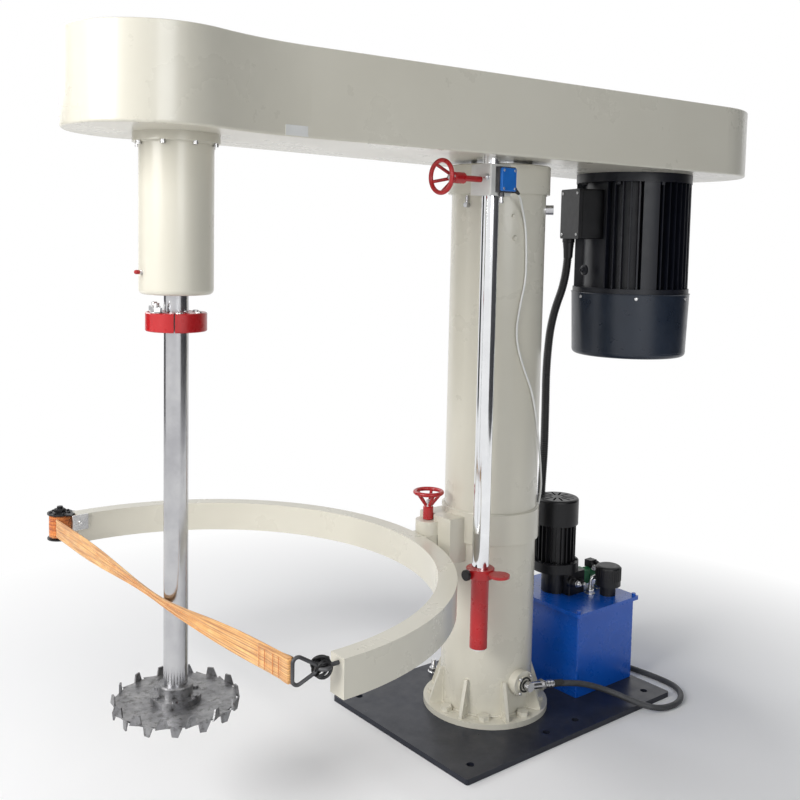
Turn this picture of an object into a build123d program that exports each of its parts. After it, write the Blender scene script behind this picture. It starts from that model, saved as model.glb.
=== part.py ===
"""High-speed disperser with a hydraulic lift, a beam drive and a swinging tank arm.

Millimetres, +Z up. The origin is on the column's axis at the floor, and +X runs along the beam
from the spindle to the motor. The head stands at its lowest. Every piece is its own STEP file.
"""

import math
import os

from build123d import *

# Fits and clearances
RUN_FIT = 0.05
SEAT_GAP = 0.3
SWING_GAP = 2.0
EDGE_BEVEL = 3.0
BOLT_PLAY = 2.0
HEX_ACROSS = 1.6
HEAD_ACROSS = 1.5
HEAD_HEIGHT = 0.65

# Base plate
PLATE_LENGTH = 860.0
PLATE_WIDTH = 600.0
PLATE_T = 16.0
PLATE_CENTRE_X = 79.0
PLATE_CORNER_R = 8.0
ANCHOR_SPACING_X = 740.0
ANCHOR_SPACING_Y = 496.0
ANCHOR_BORE = 22.0
MID_HOLE_X = (4.0, 128.0)

# Column, which is the barrel of the lift cylinder
COLUMN_OD = 273.0
COLUMN_WALL = 12.0
COLUMN_TOP = 1541.0
FOOT_FLANGE_OD = COLUMN_OD + 2 * 50.0
FOOT_FLANGE_T = 16.0
FOOT_BOLT_COUNT = 8
FOOT_BOLT_CIRCLE = COLUMN_OD + 2 * 21.5
FOOT_BOLT_D = 20.0
GUSSET_COUNT = 8
GUSSET_T = 10.0
GUSSET_HEIGHT = 103.0
GUSSET_TOE = 8.5
COLLAR_OD = COLUMN_OD + 2 * 11.0
COLLAR_HEIGHT = 81.0
SPIGOT_DEPTH = 80.0

# Ram and its guides
RAM_OD = 190.0
RAM_WALL = 15.0
RAM_FOOT_Z = 200.0
PISTON_T = 50.0
BUSH_WALL = 6.0
BUSH_HEIGHT = 50.0
RAM_FLANGE_OD = 290.0
RAM_FLANGE_T = 20.0

# Oil port and column fittings
PORT_Z = 126.0
PORT_FLANGE_OD = 75.0
PORT_FLANGE_REACH = 22.0
PORT_BORE = 16.0
ELBOW_OD = 28.0
ELBOW_REACH = 40.0
NIPPLE_OD = 22.0
PLUG_OD = 28.0
PLUG_REACH = 22.0
PLUG_ANGLE = -45.0
PLUG_Z = 1500.0
BLEED_ANGLE = -173.0
BLEED_Z = 1507.0
BLEED_OD = 14.0
BLEED_PIN_OD = 8.0
BLEED_PIN_TOP = 1533.0

# Guide rod, its block and its lock
ROD_X = -160.0
ROD_Y = -130.0
ROD_D = 48.0
ROD_FOOT_Z = 262.0
SLEEVE_OD = 50.0
SLEEVE_WALL = 5.0
SLEEVE_TOP_Z = 471.0
BLOCK_SIZE = 78.0
BLOCK_EDGE_R = 4.0
BLOCK_Z0 = 1529.0
BLOCK_Z1 = 1612.0
BLOCK_LUG_WIDTH = 60.0
ROD_NUT_OD = 80.0
ROD_NUT_H = 24.0
LOCK_Z = 1571.0
LOCK_SCREW_D = 16.0
LOCK_PAD_T = 6.0
LOCK_HUB_X = -262.0
LOCK_RIM_OD = 96.0

# Stop collar and striker plate on the rod
STOP_OD = 80.0
STOP_H = 26.0
STRIKER_T = 8.0
STRIKER_TOP_Z = 493.0
STRIKER_R = 28.0
STRIKER_X = -152.0
STRIKER_Y = -198.0
KNOB_OD = 30.0
KNOB_T = 11.0
KNOB_STEM_D = 10.0
KNOB_STEM_L = 8.0

# Limit switch on the guide block
SWITCH_WIDTH = 60.0
SWITCH_DEPTH = 15.0
SWITCH_Z0 = 1537.0
SWITCH_Z1 = 1605.0
SWITCH_CENTRE_X = -151.0
COVER_T = 8.0
COVER_MARGIN = 3.0
COVER_EDGE_R = 5.0
COVER_BEVEL = 1.5
PLUNGER_X = -165.0
PLUNGER_D = 10.0
PLUNGER_TIP_Z = 1508.0
PLUNGER_HEAD_OD = 12.0
PLUNGER_HEAD_H = 6.0
PLUNGER_TRAVEL = 6.0
PLUNGER_BOSS_H = 12.0
PLUNGER_ENGAGED = 20.0

# Beam
BEAM_Z0 = 1632.0
BEAM_HEIGHT = 208.0
BEAM_FLOOR_T = 12.0
BEAM_WALL = 6.0
BEAM_LID_T = 6.0
NOSE_X = -1078.0
NOSE_R = 202.0
WAIST_X = -720.0
WAIST_HALF = 171.0
WAIST_ARC_R = 700.0
TAIL_X = 744.0
TAIL_R = 279.0

# Spindle and its housing
SPINDLE_X = -1025.0
SPINDLE_D = 57.0
HOUSING_OD = 169.4
HOUSING_Z0 = 1270.0
HOUSING_EDGE_R = 12.0
HOUSING_FLANGE_OD = 197.0
HOUSING_FLANGE_T = 20.0
HOUSING_BOLT_COUNT = 8
HOUSING_BOLT_D = 8.0
BEARING_OD = 120.0
BEARING_H = 31.0
BEARING_LIP = 10.0
COUPLING_OD = 140.0
COUPLING_Z0 = 1186.0
COUPLING_H = 43.0
COUPLING_SPLIT = 3.0
COUPLING_BOLT_COUNT = 6
COUPLING_BOLT_D = 12.0
COUPLING_BOLT_CIRCLE = 108.0
COUPLING_BOLT_STAND = 25.0

# Toothed disc
DISC_Z = 308.0
DISC_T = 4.0
DISC_BODY_R = 142.0
TOOTH_TIP_R = 150.0
TOOTH_PAIRS = 14
TOOTH_WIDTH = 29.0
TOOTH_HEIGHT = 24.0
TOOTH_SKEW = 20.0
TOOTH_TIP_LEAD = 0.7
TOOTH_TIP_TRAIL = 0.3
HUB_OD = 120.0
HUB_T = 14.0
HUB_NECK_OD = 82.0
HUB_NECK_H = 26.0
HUB_BOLT_COUNT = 6
HUB_BOLT_D = 10.0
HUB_BOLT_CIRCLE = 101.0

# Belt drive inside the beam
SPINDLE_PULLEY_D = 224.0
MOTOR_PULLEY_D = 236.0
BELT_COUNT = 3
BELT_PITCH = 20.0
BELT_TOP_W = 16.0
BELT_DEPTH = 12.0
BELT_WEDGE = 18.0
BELT_Z = 1712.0
PULLEY_H = 74.0
PULLEY_WEB_T = 18.0
PULLEY_RIM_T = 16.0

# Drive motor
MOTOR_X = 621.0
MOTOR_BARREL_OD = 312.0
MOTOR_FIN_OD = 368.0
MOTOR_FIN_COUNT = 45
MOTOR_FIN_T = 4.0
MOTOR_FLANGE_T = 29.0
MOTOR_SHIELD_T = 16.0
STATOR_BORE = 188.0
AIR_GAP = 1.0
MOTOR_SHAFT_D = 48.0
BAND_ANGLE = -124.0
BAND_HALF = 8.0
COWL_TOP_OD = 382.0
COWL_BOTTOM_OD = 368.0
COWL_Z0 = 1042.5
COWL_HEIGHT = 206.0
COWL_WALL = 2.5
COWL_EDGE_R = 14.0
COWL_SLOTS = 24
COWL_WEB = 4.0
SHIELD_SPIGOT = 12.0
FAN_OD = 300.0
FAN_H = 50.0
FAN_BLADES = 8
TERMINAL_ANGLE = 160.0
TERMINAL_WIDTH = 120.0
TERMINAL_PROUD = 50.0
TERMINAL_Z0 = 1421.0
TERMINAL_Z1 = 1580.0
TERMINAL_LID_T = 12.0
TERMINAL_EDGE_R = 6.0
GLAND_OD = 36.0

# Hydraulic pack
TANK_X0 = 235.0
TANK_X1 = 500.0
TANK_Y0 = -157.0
TANK_Y1 = 153.0
TANK_HEIGHT = 256.0
TANK_WALL = 3.0
TANK_EDGE_R = 6.0
LID_T = 12.0
LID_OVERHANG = 12.0
LID_BOLT_D = 8.0
PACK_PORT_Z = 252.0
PACK_PORT_Y = 0.0
PACK_PORT_REACH = 48.0
PACK_PORT_DROP = 26.0
MANIFOLD_X0 = 324.0
MANIFOLD_X1 = 398.0
MANIFOLD_HALF_Y = 40.0
MANIFOLD_H = 73.0
BELL_OD = 84.0
PUMP_X = 330.0
PUMP_Y = 30.0
PUMP_FLANGE_OD = 150.0
PUMP_FLANGE_T = 31.0
PUMP_BARREL_OD = 110.0
PUMP_FIN_OD = 128.0
PUMP_FIN_COUNT = 24
PUMP_FIN_T = 3.0
PUMP_BODY_H = 120.0
PUMP_COWL_OD = 140.0
PUMP_COWL_H = 84.0
PUMP_COWL_EDGE_R = 8.0
PUMP_SLOT_R0 = 18.0
PUMP_SLOT_W = 6.0
PUMP_SLOTS = 12
PUMP_BLADES = 6
PUMP_STATOR_BORE = 70.0
PUMP_SHAFT_D = 19.0
PUMP_FAN_OD = 110.0
PUMP_FAN_H = 24.0
PUMP_BOX_W = 90.0
PUMP_BOX_REACH = 46.0
PUMP_GLAND_X = 352.0
PUMP_GLAND_Y = 120.0
PUMP_BOX_H = 70.0
VALVE_BODY = 44.0
COIL_OD = 48.0
COIL_L = 68.0
BREATHER_X = 440.0
BREATHER_Y = -100.0
BREATHER_NECK_OD = 50.0
BREATHER_CAP_OD = 80.0
BREATHER_H = 96.0
GEAR_PUMP_W = 80.0
GEAR_PUMP_H = 110.0
SUCTION_OD = 22.0
SUCTION_FOOT_Z = 40.0

# Tank arm
ARM_BRIDGE = 44.7
ARM_BEARING = 7.21
ARM_OUTER_R = 676.0
ARM_WIDTH = 48.0
ARM_WALL = 5.0
ARM_Z0 = 481.0
ARM_Z1 = 566.5
ARM_FROM = -90.6
ARM_TO = 94.3
ARM_COLLAR_WALL = 8.0
ARM_COLLAR_Z0 = 539.0
ARM_COLLAR_Z1 = 627.0
BRACKET_Y0 = -38.0
BRACKET_Y1 = 95.0
BRACKET_Z0 = 484.0
BRACKET_Z1 = 615.0
PIVOT_REACH = 63.5
PIVOT_Y = 52.0
FORK_R = 36.0
FORK_LOW_T = 15.0
FORK_HIGH_T = 39.0
TONGUE_H = 60.0
PIVOT_PIN_D = 30.0
PIVOT_PIN_DEPTH = 46.0
PIVOT_HEAD_OD = 46.0
PIVOT_HEAD_T = 10.0
ARM_SCREW_D = 20.0
ARM_PAD_T = 6.0
ARM_RIM_OD = 90.0
ARM_RIM_RISE = 78.0

# Handwheels
WHEEL_SPOKES = 5
WHEEL_RIM_D = 12.0
WHEEL_SPOKE_D = 9.0
WHEEL_HUB_OD = 30.0
WHEEL_HUB_L = 38.0
LOCK_RIM_RISE = 77.0

# Strap, its post and its hook
POST_OUT_X = -32.1
POST_OUT_Y = 35.3
POST_D = 20.0
POST_Z0 = 487.0
POST_Z1 = 567.0
CHEEK_R = 37.0
CHEEK_T = 4.0
ROLL_OD = 60.0
STRAP_W = 56.0
STRAP_T = 5.0
RING_WIRE_D = 8.0
RING_BEND_R = 11.2
EYE_MAJOR_R = 12.0
EYE_WIRE_D = 9.0
HOOK_Z = 553.0
HOOK_REACH = 40.2
HOOK_SIDE = 4.5

# Cord diameters and routes; the points are the cord's corners
HOSE_D = 18.0
HOSE_POINTS = [
    (60.0, -181.7, 116.7),
    (180.0, -192.0, 98.0),
    (300.0, -216.0, 50.0),
    (345.0, -312.0, 26.0),
    (400.0, -352.0, 9.8),
    (490.0, -358.0, 9.8),
    (566.0, -300.0, 9.8),
    (576.0, -200.0, 9.8),
    (548.0, 0.0, 9.8),
    (548.0, 0.0, 226.0),
]
SWITCH_CABLE_D = 6.0
SWITCH_CABLE_POINTS = [
    (-120.0, -176.5, 1548.0),
    (-88.0, -168.0, 1535.0),
    (-52.0, -142.0, 1512.0),
    (-30.0, -140.0, 1450.0),
    (-26.0, -142.0, 1375.0),
    (-24.0, -141.0, 1300.0),
    (-42.0, -137.0, 1222.0),
    (-52.0, -134.0, 1140.0),
    (-28.0, -141.0, 1060.0),
    (12.0, -143.0, 985.0),
    (40.0, -138.0, 902.0),
    (64.0, -129.0, 820.0),
    (94.0, -112.0, 742.0),
    (124.0, -89.0, 665.0),
    (146.0, -53.0, 590.0),
    (152.0, -14.0, 515.0),
    (158.0, 26.0, 445.0),
    (205.0, 78.0, 412.0),
    (284.0, 112.0, 424.0),
]
CONDUIT_D = 28.0
CONDUIT_POINTS = [
    (433.0, 109.0, 1401.0),
    (433.0, 109.0, 1300.0),
    (404.0, 146.0, 1160.0),
    (388.0, 148.0, 1010.0),
    (384.0, 142.0, 860.0),
    (376.0, 134.0, 710.0),
    (352.0, 120.0, 590.0),
    (352.0, 120.0, 482.0),
]



def rod(d, z0, z1, x=0.0, y=0.0):
    return Pos(x, y, z0) * Cylinder(d / 2, z1 - z0, align=(Align.CENTER, Align.CENTER, Align.MIN))


def ring(outer_d, inner_d, z0, z1, x=0.0, y=0.0):
    return rod(outer_d, z0, z1, x, y) - rod(inner_d, z0, z1, x, y)


def block(x0, x1, y0, y1, z0, z1):
    corner = (Align.MIN, Align.MIN, Align.MIN)
    return Pos(x0, y0, z0) * Box(x1 - x0, y1 - y0, z1 - z0, align=corner)


def around(shape, count, start=0.0, x=0.0, y=0.0):
    axis = Axis((x, y, 0), (0, 0, 1))
    return [shape.rotate(axis, start + i * 360.0 / count) for i in range(count)]


def joined(pieces):
    return pieces[0].fuse(*pieces[1:]) if len(pieces) > 1 else pieces[0]


def along_x(shape, x, y, z, side=1):
    """Turns a piece modelled along +Z to run along +X or, with side -1, along -X."""
    return Pos(x, y, z) * Rot(0, 90 * side, 0) * shape


def along_y(shape, x, y, z, side=1):
    return Pos(x, y, z) * Rot(-90 * side, 0, 0) * shape


def hex_head(across, z0, z1, x=0.0, y=0.0):
    outline = Pos(x, y, z0) * RegularPolygon(across / 2, 6, major_radius=False)
    return extrude(outline, z1 - z0)


def save(name, pieces):
    pieces = pieces if isinstance(pieces, list) else [pieces]
    solids = [s for p in pieces for s in p.solids()]
    shape = solids[0] if len(solids) == 1 else Compound(children=solids)
    export_step(shape, f"parts/{name}.step")


# Heights and radii that follow from the driving dimensions
PLATE_TOP = PLATE_T
COLUMN_BORE = COLUMN_OD - 2 * COLUMN_WALL
FLANGE_TOP = PLATE_TOP + FOOT_FLANGE_T
COLLAR_TOP = COLUMN_TOP + COLLAR_HEIGHT
SPIGOT_FOOT = COLUMN_TOP - SPIGOT_DEPTH
BUSH_BORE = RAM_OD + 2 * RUN_FIT
BUSH_OD = BUSH_BORE + 2 * BUSH_WALL
BEAM_TOP = BEAM_Z0 + BEAM_HEIGHT
FLOOR_TOP = BEAM_Z0 + BEAM_FLOOR_T
BLOCK_FRONT = ROD_Y - BLOCK_SIZE / 2
ROD_BORE = ROD_D + 2 * RUN_FIT
PLUNGER_Y = BLOCK_FRONT - SWITCH_DEPTH / 2
PLUNGER_BORE = PLUNGER_D + 2 * RUN_FIT
TANK_TOP = PLATE_TOP + TANK_HEIGHT
LID_TOP = TANK_TOP + LID_T
MANIFOLD_TOP = LID_TOP + MANIFOLD_H
PUMP_BODY_Z0 = MANIFOLD_TOP + PUMP_FLANGE_T
PUMP_BODY_Z1 = PUMP_BODY_Z0 + PUMP_BODY_H
TONGUE_Z0 = BRACKET_Z0 + FORK_LOW_T + RUN_FIT
TONGUE_Z1 = TONGUE_Z0 + TONGUE_H
FORK_HIGH_Z0 = TONGUE_Z1 + SEAT_GAP
FORK_HIGH_Z1 = FORK_HIGH_Z0 + FORK_HIGH_T
ARM_COLLAR_OD = COLUMN_OD + 2 * ARM_COLLAR_WALL
PIVOT_X = -COLUMN_OD / 2 - PIVOT_REACH
BRACKET_X0 = PIVOT_X + FORK_R / 6
ARM_PIVOT_R = ARM_OUTER_R + ARM_BRIDGE
ARM_MID_R = ARM_OUTER_R - ARM_WIDTH / 2
ARM_CENTRE_X = PIVOT_X - ARM_PIVOT_R * math.cos(math.radians(ARM_BEARING))
ARM_CENTRE_Y = PIVOT_Y + ARM_PIVOT_R * math.sin(math.radians(ARM_BEARING))
ARM_HEAD_X = ARM_CENTRE_X + ARM_MID_R * math.cos(math.radians(ARM_TO))
ARM_HEAD_Y = ARM_CENTRE_Y + ARM_MID_R * math.sin(math.radians(ARM_TO))
ARM_TAIL_X = ARM_CENTRE_X + ARM_MID_R * math.cos(math.radians(ARM_FROM))
ARM_TAIL_Y = ARM_CENTRE_Y + ARM_MID_R * math.sin(math.radians(ARM_FROM))
POST_X = ARM_HEAD_X + POST_OUT_X
POST_Y = ARM_HEAD_Y + POST_OUT_Y
HOOK_APEX_X = ARM_TAIL_X - HOOK_REACH
HOOK_Y = ARM_TAIL_Y - HOOK_SIDE
STRAP_POINTS = [
    (POST_X - 21.0, POST_Y - 30.0, (POST_Z0 + POST_Z1) / 2),
    (SPINDLE_X - 49.0, -22.0, HOOK_Z + 5.0),
    (HOOK_APEX_X - 64.0, HOOK_Y + 14.0, HOOK_Z + 4.0),
]
MOTOR_Z0 = COWL_Z0 + COWL_HEIGHT
MOTOR_Z1 = BEAM_Z0 - MOTOR_FLANGE_T
PULLEY_Z0 = BELT_Z - PULLEY_H / 2
PULLEY_Z1 = BELT_Z + PULLEY_H / 2
COUPLING_MID_Z = COUPLING_Z0 + COUPLING_H / 2
HOUSING_BORE = BEARING_OD - 2 * BEARING_LIP
HOUSING_BOLT_CIRCLE = (HOUSING_OD + HOUSING_FLANGE_OD) / 2
SHAFT_BORE = SPINDLE_D + 2 * RUN_FIT
MOTOR_BORE = MOTOR_SHAFT_D + 2 * RUN_FIT
DISC_TOP = DISC_Z + DISC_T / 2
DISC_FOOT = DISC_Z - DISC_T / 2


# Base plate and column
def base_plate():
    outline = RectangleRounded(PLATE_LENGTH, PLATE_WIDTH, PLATE_CORNER_R)
    plate = Pos(PLATE_CENTRE_X, 0, 0) * extrude(outline, PLATE_T)
    for sy in (-1, 1):
        y = sy * ANCHOR_SPACING_Y / 2
        corners = [PLATE_CENTRE_X + sx * ANCHOR_SPACING_X / 2 for sx in (-1, 1)]
        for x in (*corners, *MID_HOLE_X):
            plate -= rod(ANCHOR_BORE, 0, PLATE_T, x, y)
    for hole in around(rod(FOOT_BOLT_D, 0, PLATE_T, FOOT_BOLT_CIRCLE / 2), FOOT_BOLT_COUNT):
        plate -= hole
    return plate


def column_tube():
    tube = ring(COLUMN_OD, COLUMN_BORE, PLATE_TOP, COLUMN_TOP)
    port = along_y(rod(PORT_BORE, 0, COLUMN_OD), 0, 0, PORT_Z, -1)
    plug = along_x(rod(BLEED_OD, 0, COLUMN_OD), 0, 0, PLUG_Z).rotate(Axis.Z, PLUG_ANGLE)
    bleed = along_x(rod(BLEED_PIN_OD, 0, COLUMN_OD), 0, 0, BLEED_Z).rotate(Axis.Z, BLEED_ANGLE)
    return tube - port - plug - bleed


def column_foot():
    flange = ring(FOOT_FLANGE_OD, COLUMN_OD, PLATE_TOP, FLANGE_TOP)
    clearance = FOOT_BOLT_D + BOLT_PLAY
    for hole in around(rod(clearance, PLATE_TOP, FLANGE_TOP, FOOT_BOLT_CIRCLE / 2), FOOT_BOLT_COUNT):
        flange -= hole
    r_in = COLUMN_OD / 2 - COLUMN_WALL / 2
    r_toe = FOOT_FLANGE_OD / 2 - GUSSET_TOE
    top = FLANGE_TOP + GUSSET_HEIGHT
    shoulder = COLUMN_OD / 2 + GUSSET_TOE
    step = FLANGE_TOP + GUSSET_TOE
    corners = [(r_in, FLANGE_TOP), (r_toe, FLANGE_TOP), (r_toe, step), (shoulder, top), (r_in, top)]
    profile = Plane.XZ * make_face(Polyline(*corners, close=True))
    gusset = extrude(profile, GUSSET_T / 2, both=True) - rod(COLUMN_OD, 0, top)
    return joined([flange, *around(gusset, GUSSET_COUNT, 180.0 / GUSSET_COUNT)])


def foot_bolts():
    across = HEAD_ACROSS * FOOT_BOLT_D
    head = hex_head(across, FLANGE_TOP, FLANGE_TOP + HEAD_HEIGHT * FOOT_BOLT_D, FOOT_BOLT_CIRCLE / 2)
    bolt = head + rod(FOOT_BOLT_D, 0, FLANGE_TOP, FOOT_BOLT_CIRCLE / 2)
    return around(bolt, FOOT_BOLT_COUNT)


def column_collar():
    collar = rod(COLLAR_OD, COLUMN_TOP, COLLAR_TOP) + rod(COLUMN_BORE, SPIGOT_FOOT, COLUMN_TOP)
    collar = chamfer(collar.edges().group_by(Axis.Z)[-1], EDGE_BEVEL)
    collar -= rod(RAM_OD + 2 * SEAT_GAP, SPIGOT_FOOT, COLLAR_TOP)
    for z0 in bush_feet():
        collar -= rod(BUSH_OD, z0, z0 + BUSH_HEIGHT)
    return collar


def bush_feet():
    inset = COLUMN_WALL
    return (SPIGOT_FOOT + inset, COLLAR_TOP - inset - BUSH_HEIGHT)


def guide_bushes():
    return [ring(BUSH_OD, BUSH_BORE, z0, z0 + BUSH_HEIGHT) for z0 in bush_feet()]


def oil_port():
    face = COLUMN_OD / 2 + PORT_FLANGE_REACH
    flange = rod(PORT_FLANGE_OD, 0, face)
    boss = rod(ELBOW_OD + 2 * GUSSET_TOE, face, face + COLUMN_WALL / 2)
    port = along_y(flange + boss - rod(PORT_BORE, 0, face + COLUMN_WALL), 0, 0, PORT_Z, -1)
    return port - rod(COLUMN_OD, 0, COLUMN_TOP)


def port_elbow():
    """A body that screws on to the port and a nipple that turns toward the pack."""
    start = COLUMN_OD / 2 + PORT_FLANGE_REACH + COLUMN_WALL / 2
    axis_y = -(COLUMN_OD / 2 + ELBOW_REACH)
    body = along_y(rod(ELBOW_OD, 0, 2 * (-axis_y - start)), 0, -start, PORT_Z, -1)
    corner = Vector(0, axis_y, PORT_Z)
    toward = Vector(*HOSE_POINTS[0]) - corner
    nipple = Plane(origin=corner, z_dir=toward) * rod(NIPPLE_OD, 0, toward.length)
    return body + nipple


def on_column(stem_d, head_d, reach, angle, z):
    """A round fitting that stands radially on the column, with its stem in the wall."""
    r = COLUMN_OD / 2
    head = along_x(rod(head_d, r - COLUMN_WALL, r + reach), 0, 0, z) - rod(COLUMN_OD, 0, COLUMN_TOP)
    stem = along_x(rod(stem_d, r - COLUMN_WALL, r + reach), 0, 0, z) - rod(COLUMN_BORE, 0, COLUMN_TOP)
    return (head + stem).rotate(Axis.Z, angle)


def column_fittings():
    """A round plug and a bleed fitting, both screwed into the tube below the collar."""
    plug = on_column(BLEED_OD, PLUG_OD, PLUG_REACH, PLUG_ANGLE, PLUG_Z)
    bleed = on_column(BLEED_PIN_OD, BLEED_OD, BLEED_OD, BLEED_ANGLE, BLEED_Z)
    r = COLUMN_OD / 2 + BLEED_OD / 2
    turn = math.radians(BLEED_ANGLE)
    pin = rod(BLEED_PIN_OD, BLEED_Z, BLEED_PIN_TOP, r * math.cos(turn), r * math.sin(turn))
    return [plug, bleed + pin]


# Guide block, limit switch and bracket for the tank arm
def guide_block():
    half = BLOCK_SIZE / 2
    body = block(ROD_X - half, ROD_X + half, ROD_Y - half, ROD_Y + half, BLOCK_Z0, BLOCK_Z1)
    body = fillet(body.edges().filter_by(Axis.Z), BLOCK_EDGE_R)
    reach = math.hypot(ROD_X, ROD_Y)
    lug = block(0, reach, -BLOCK_LUG_WIDTH / 2, BLOCK_LUG_WIDTH / 2, COLUMN_TOP, BLOCK_Z1)
    body += lug.rotate(Axis.Z, math.degrees(math.atan2(ROD_Y, ROD_X)))
    body -= rod(COLLAR_OD, 0, COLLAR_TOP)
    body -= rod(ROD_BORE, 0, COLLAR_TOP, ROD_X, ROD_Y)
    return body - along_x(rod(LOCK_SCREW_D + 2 * RUN_FIT, 0, BLOCK_SIZE), ROD_X, ROD_Y, LOCK_Z, -1)


def switch_body():
    half = SWITCH_WIDTH / 2
    x0 = SWITCH_CENTRE_X - half
    x1 = SWITCH_CENTRE_X + half
    body = block(x0, x1, BLOCK_FRONT - SWITCH_DEPTH, BLOCK_FRONT, SWITCH_Z0, SWITCH_Z1)
    body += rod(SWITCH_DEPTH, SWITCH_Z0 - PLUNGER_BOSS_H, SWITCH_Z0, PLUNGER_X, PLUNGER_Y)
    top = SWITCH_Z0 + PLUNGER_ENGAGED + 2 * PLUNGER_TRAVEL
    body -= rod(PLUNGER_BORE, SWITCH_Z0 - PLUNGER_BOSS_H, top, PLUNGER_X, PLUNGER_Y)
    exit_y, exit_z = SWITCH_CABLE_POINTS[0][1:]
    gland = along_x(rod(2 * SWITCH_CABLE_D, 0, SWITCH_CABLE_D), x1 - SWITCH_CABLE_D, exit_y, exit_z)
    return body + gland


def switch_cover():
    half = SWITCH_WIDTH / 2 - COVER_MARGIN
    front = BLOCK_FRONT - SWITCH_DEPTH
    z0 = SWITCH_Z0 + COVER_MARGIN
    z1 = SWITCH_Z1 - COVER_MARGIN
    cover = block(SWITCH_CENTRE_X - half, SWITCH_CENTRE_X + half, front - COVER_T, front, z0, z1)
    cover = fillet(cover.edges().filter_by(Axis.Y), COVER_EDGE_R)
    return chamfer(cover.faces().sort_by(Axis.Y)[0].edges(), COVER_BEVEL)


def switch_plunger():
    stem_top = SWITCH_Z0 + PLUNGER_ENGAGED
    stem = rod(PLUNGER_D, PLUNGER_TIP_Z, stem_top, PLUNGER_X, PLUNGER_Y)
    head = rod(PLUNGER_HEAD_OD, PLUNGER_TIP_Z, PLUNGER_TIP_Z + PLUNGER_HEAD_H, PLUNGER_X, PLUNGER_Y)
    return stem + fillet(head.edges().group_by(Axis.Z)[0], 2.0)


def arm_collar():
    """A clamp ring on the column with the fork that carries the tank arm."""
    bracket = block(BRACKET_X0, 0, BRACKET_Y0, BRACKET_Y1, BRACKET_Z0, BRACKET_Z1)
    low_z1 = BRACKET_Z0 + FORK_LOW_T
    for z0, z1 in ((BRACKET_Z0, low_z1), (FORK_HIGH_Z0, FORK_HIGH_Z1)):
        bracket += rod(2 * FORK_R, z0, z1, PIVOT_X, PIVOT_Y)
    slot = rod(2 * (FORK_R + SWING_GAP), low_z1, FORK_HIGH_Z0, PIVOT_X, PIVOT_Y)
    bracket -= slot
    bracket -= rod(WHEEL_HUB_OD + 4 * SWING_GAP, FORK_HIGH_Z1, BRACKET_Z1, PIVOT_X, PIVOT_Y)
    for d, z0, z1 in (
        (PIVOT_PIN_D, BRACKET_Z0, low_z1),
        (ARM_SCREW_D + 2 * RUN_FIT, FORK_HIGH_Z0, FORK_HIGH_Z1),
    ):
        bracket -= rod(d, z0, z1, PIVOT_X, PIVOT_Y)
    collar = rod(ARM_COLLAR_OD, ARM_COLLAR_Z0, ARM_COLLAR_Z1)
    return bracket + collar - rod(COLUMN_OD, 0, COLUMN_TOP)


def arm_pivot_pin():
    head_z0 = BRACKET_Z0 - PIVOT_HEAD_T
    head = rod(PIVOT_HEAD_OD, head_z0, BRACKET_Z0, PIVOT_X, PIVOT_Y)
    return head + rod(PIVOT_PIN_D, head_z0, TONGUE_Z0 + PIVOT_PIN_DEPTH, PIVOT_X, PIVOT_Y)


# Hydraulic pack
def oil_tank():
    outer = block(TANK_X0, TANK_X1, TANK_Y0, TANK_Y1, PLATE_TOP, TANK_TOP)
    outer = fillet(outer.edges().filter_by(Axis.Z), TANK_EDGE_R)
    inner = block(
        TANK_X0 + TANK_WALL,
        TANK_X1 - TANK_WALL,
        TANK_Y0 + TANK_WALL,
        TANK_Y1 - TANK_WALL,
        PLATE_TOP + TANK_WALL,
        TANK_TOP,
    )
    reach = PACK_PORT_REACH
    stub = along_x(rod(NIPPLE_OD, -TANK_WALL, reach), TANK_X1, PACK_PORT_Y, PACK_PORT_Z)
    nozzle = rod(NIPPLE_OD, PACK_PORT_Z - PACK_PORT_DROP, PACK_PORT_Z, TANK_X1 + reach, PACK_PORT_Y)
    bend = Pos(TANK_X1 + reach, PACK_PORT_Y, PACK_PORT_Z) * Sphere(NIPPLE_OD / 2)
    return outer - inner + stub + nozzle + bend


def tank_lid():
    """The lid, with its corner bolts' heads."""
    x0 = TANK_X0 - LID_OVERHANG
    x1 = TANK_X1 + LID_OVERHANG
    y0 = TANK_Y0 - LID_OVERHANG
    y1 = TANK_Y1 + LID_OVERHANG
    lid = block(x0, x1, y0, y1, TANK_TOP, LID_TOP)
    lid = fillet(lid.edges().filter_by(Axis.Z), TANK_EDGE_R)
    inset = LID_OVERHANG
    for x in (x0 + inset, x1 - inset):
        for y in (y0 + inset, y1 - inset):
            lid += rod(HEX_ACROSS * LID_BOLT_D, LID_TOP, LID_TOP + LID_BOLT_D, x, y)
    return lid - rod(PUMP_SHAFT_D + 2 * SWING_GAP, TANK_TOP, LID_TOP, PUMP_X, PUMP_Y)


def pump_manifold():
    """The valve block with the bell that carries the pump motor."""
    body = block(MANIFOLD_X0, MANIFOLD_X1, -MANIFOLD_HALF_Y, MANIFOLD_HALF_Y, LID_TOP, MANIFOLD_TOP)
    body = chamfer(body.edges().filter_by(Axis.Z), EDGE_BEVEL)
    body += rod(BELL_OD, LID_TOP, MANIFOLD_TOP, PUMP_X, PUMP_Y)
    return body - rod(PUMP_SHAFT_D + 2 * SWING_GAP, LID_TOP, MANIFOLD_TOP, PUMP_X, PUMP_Y)


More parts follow.
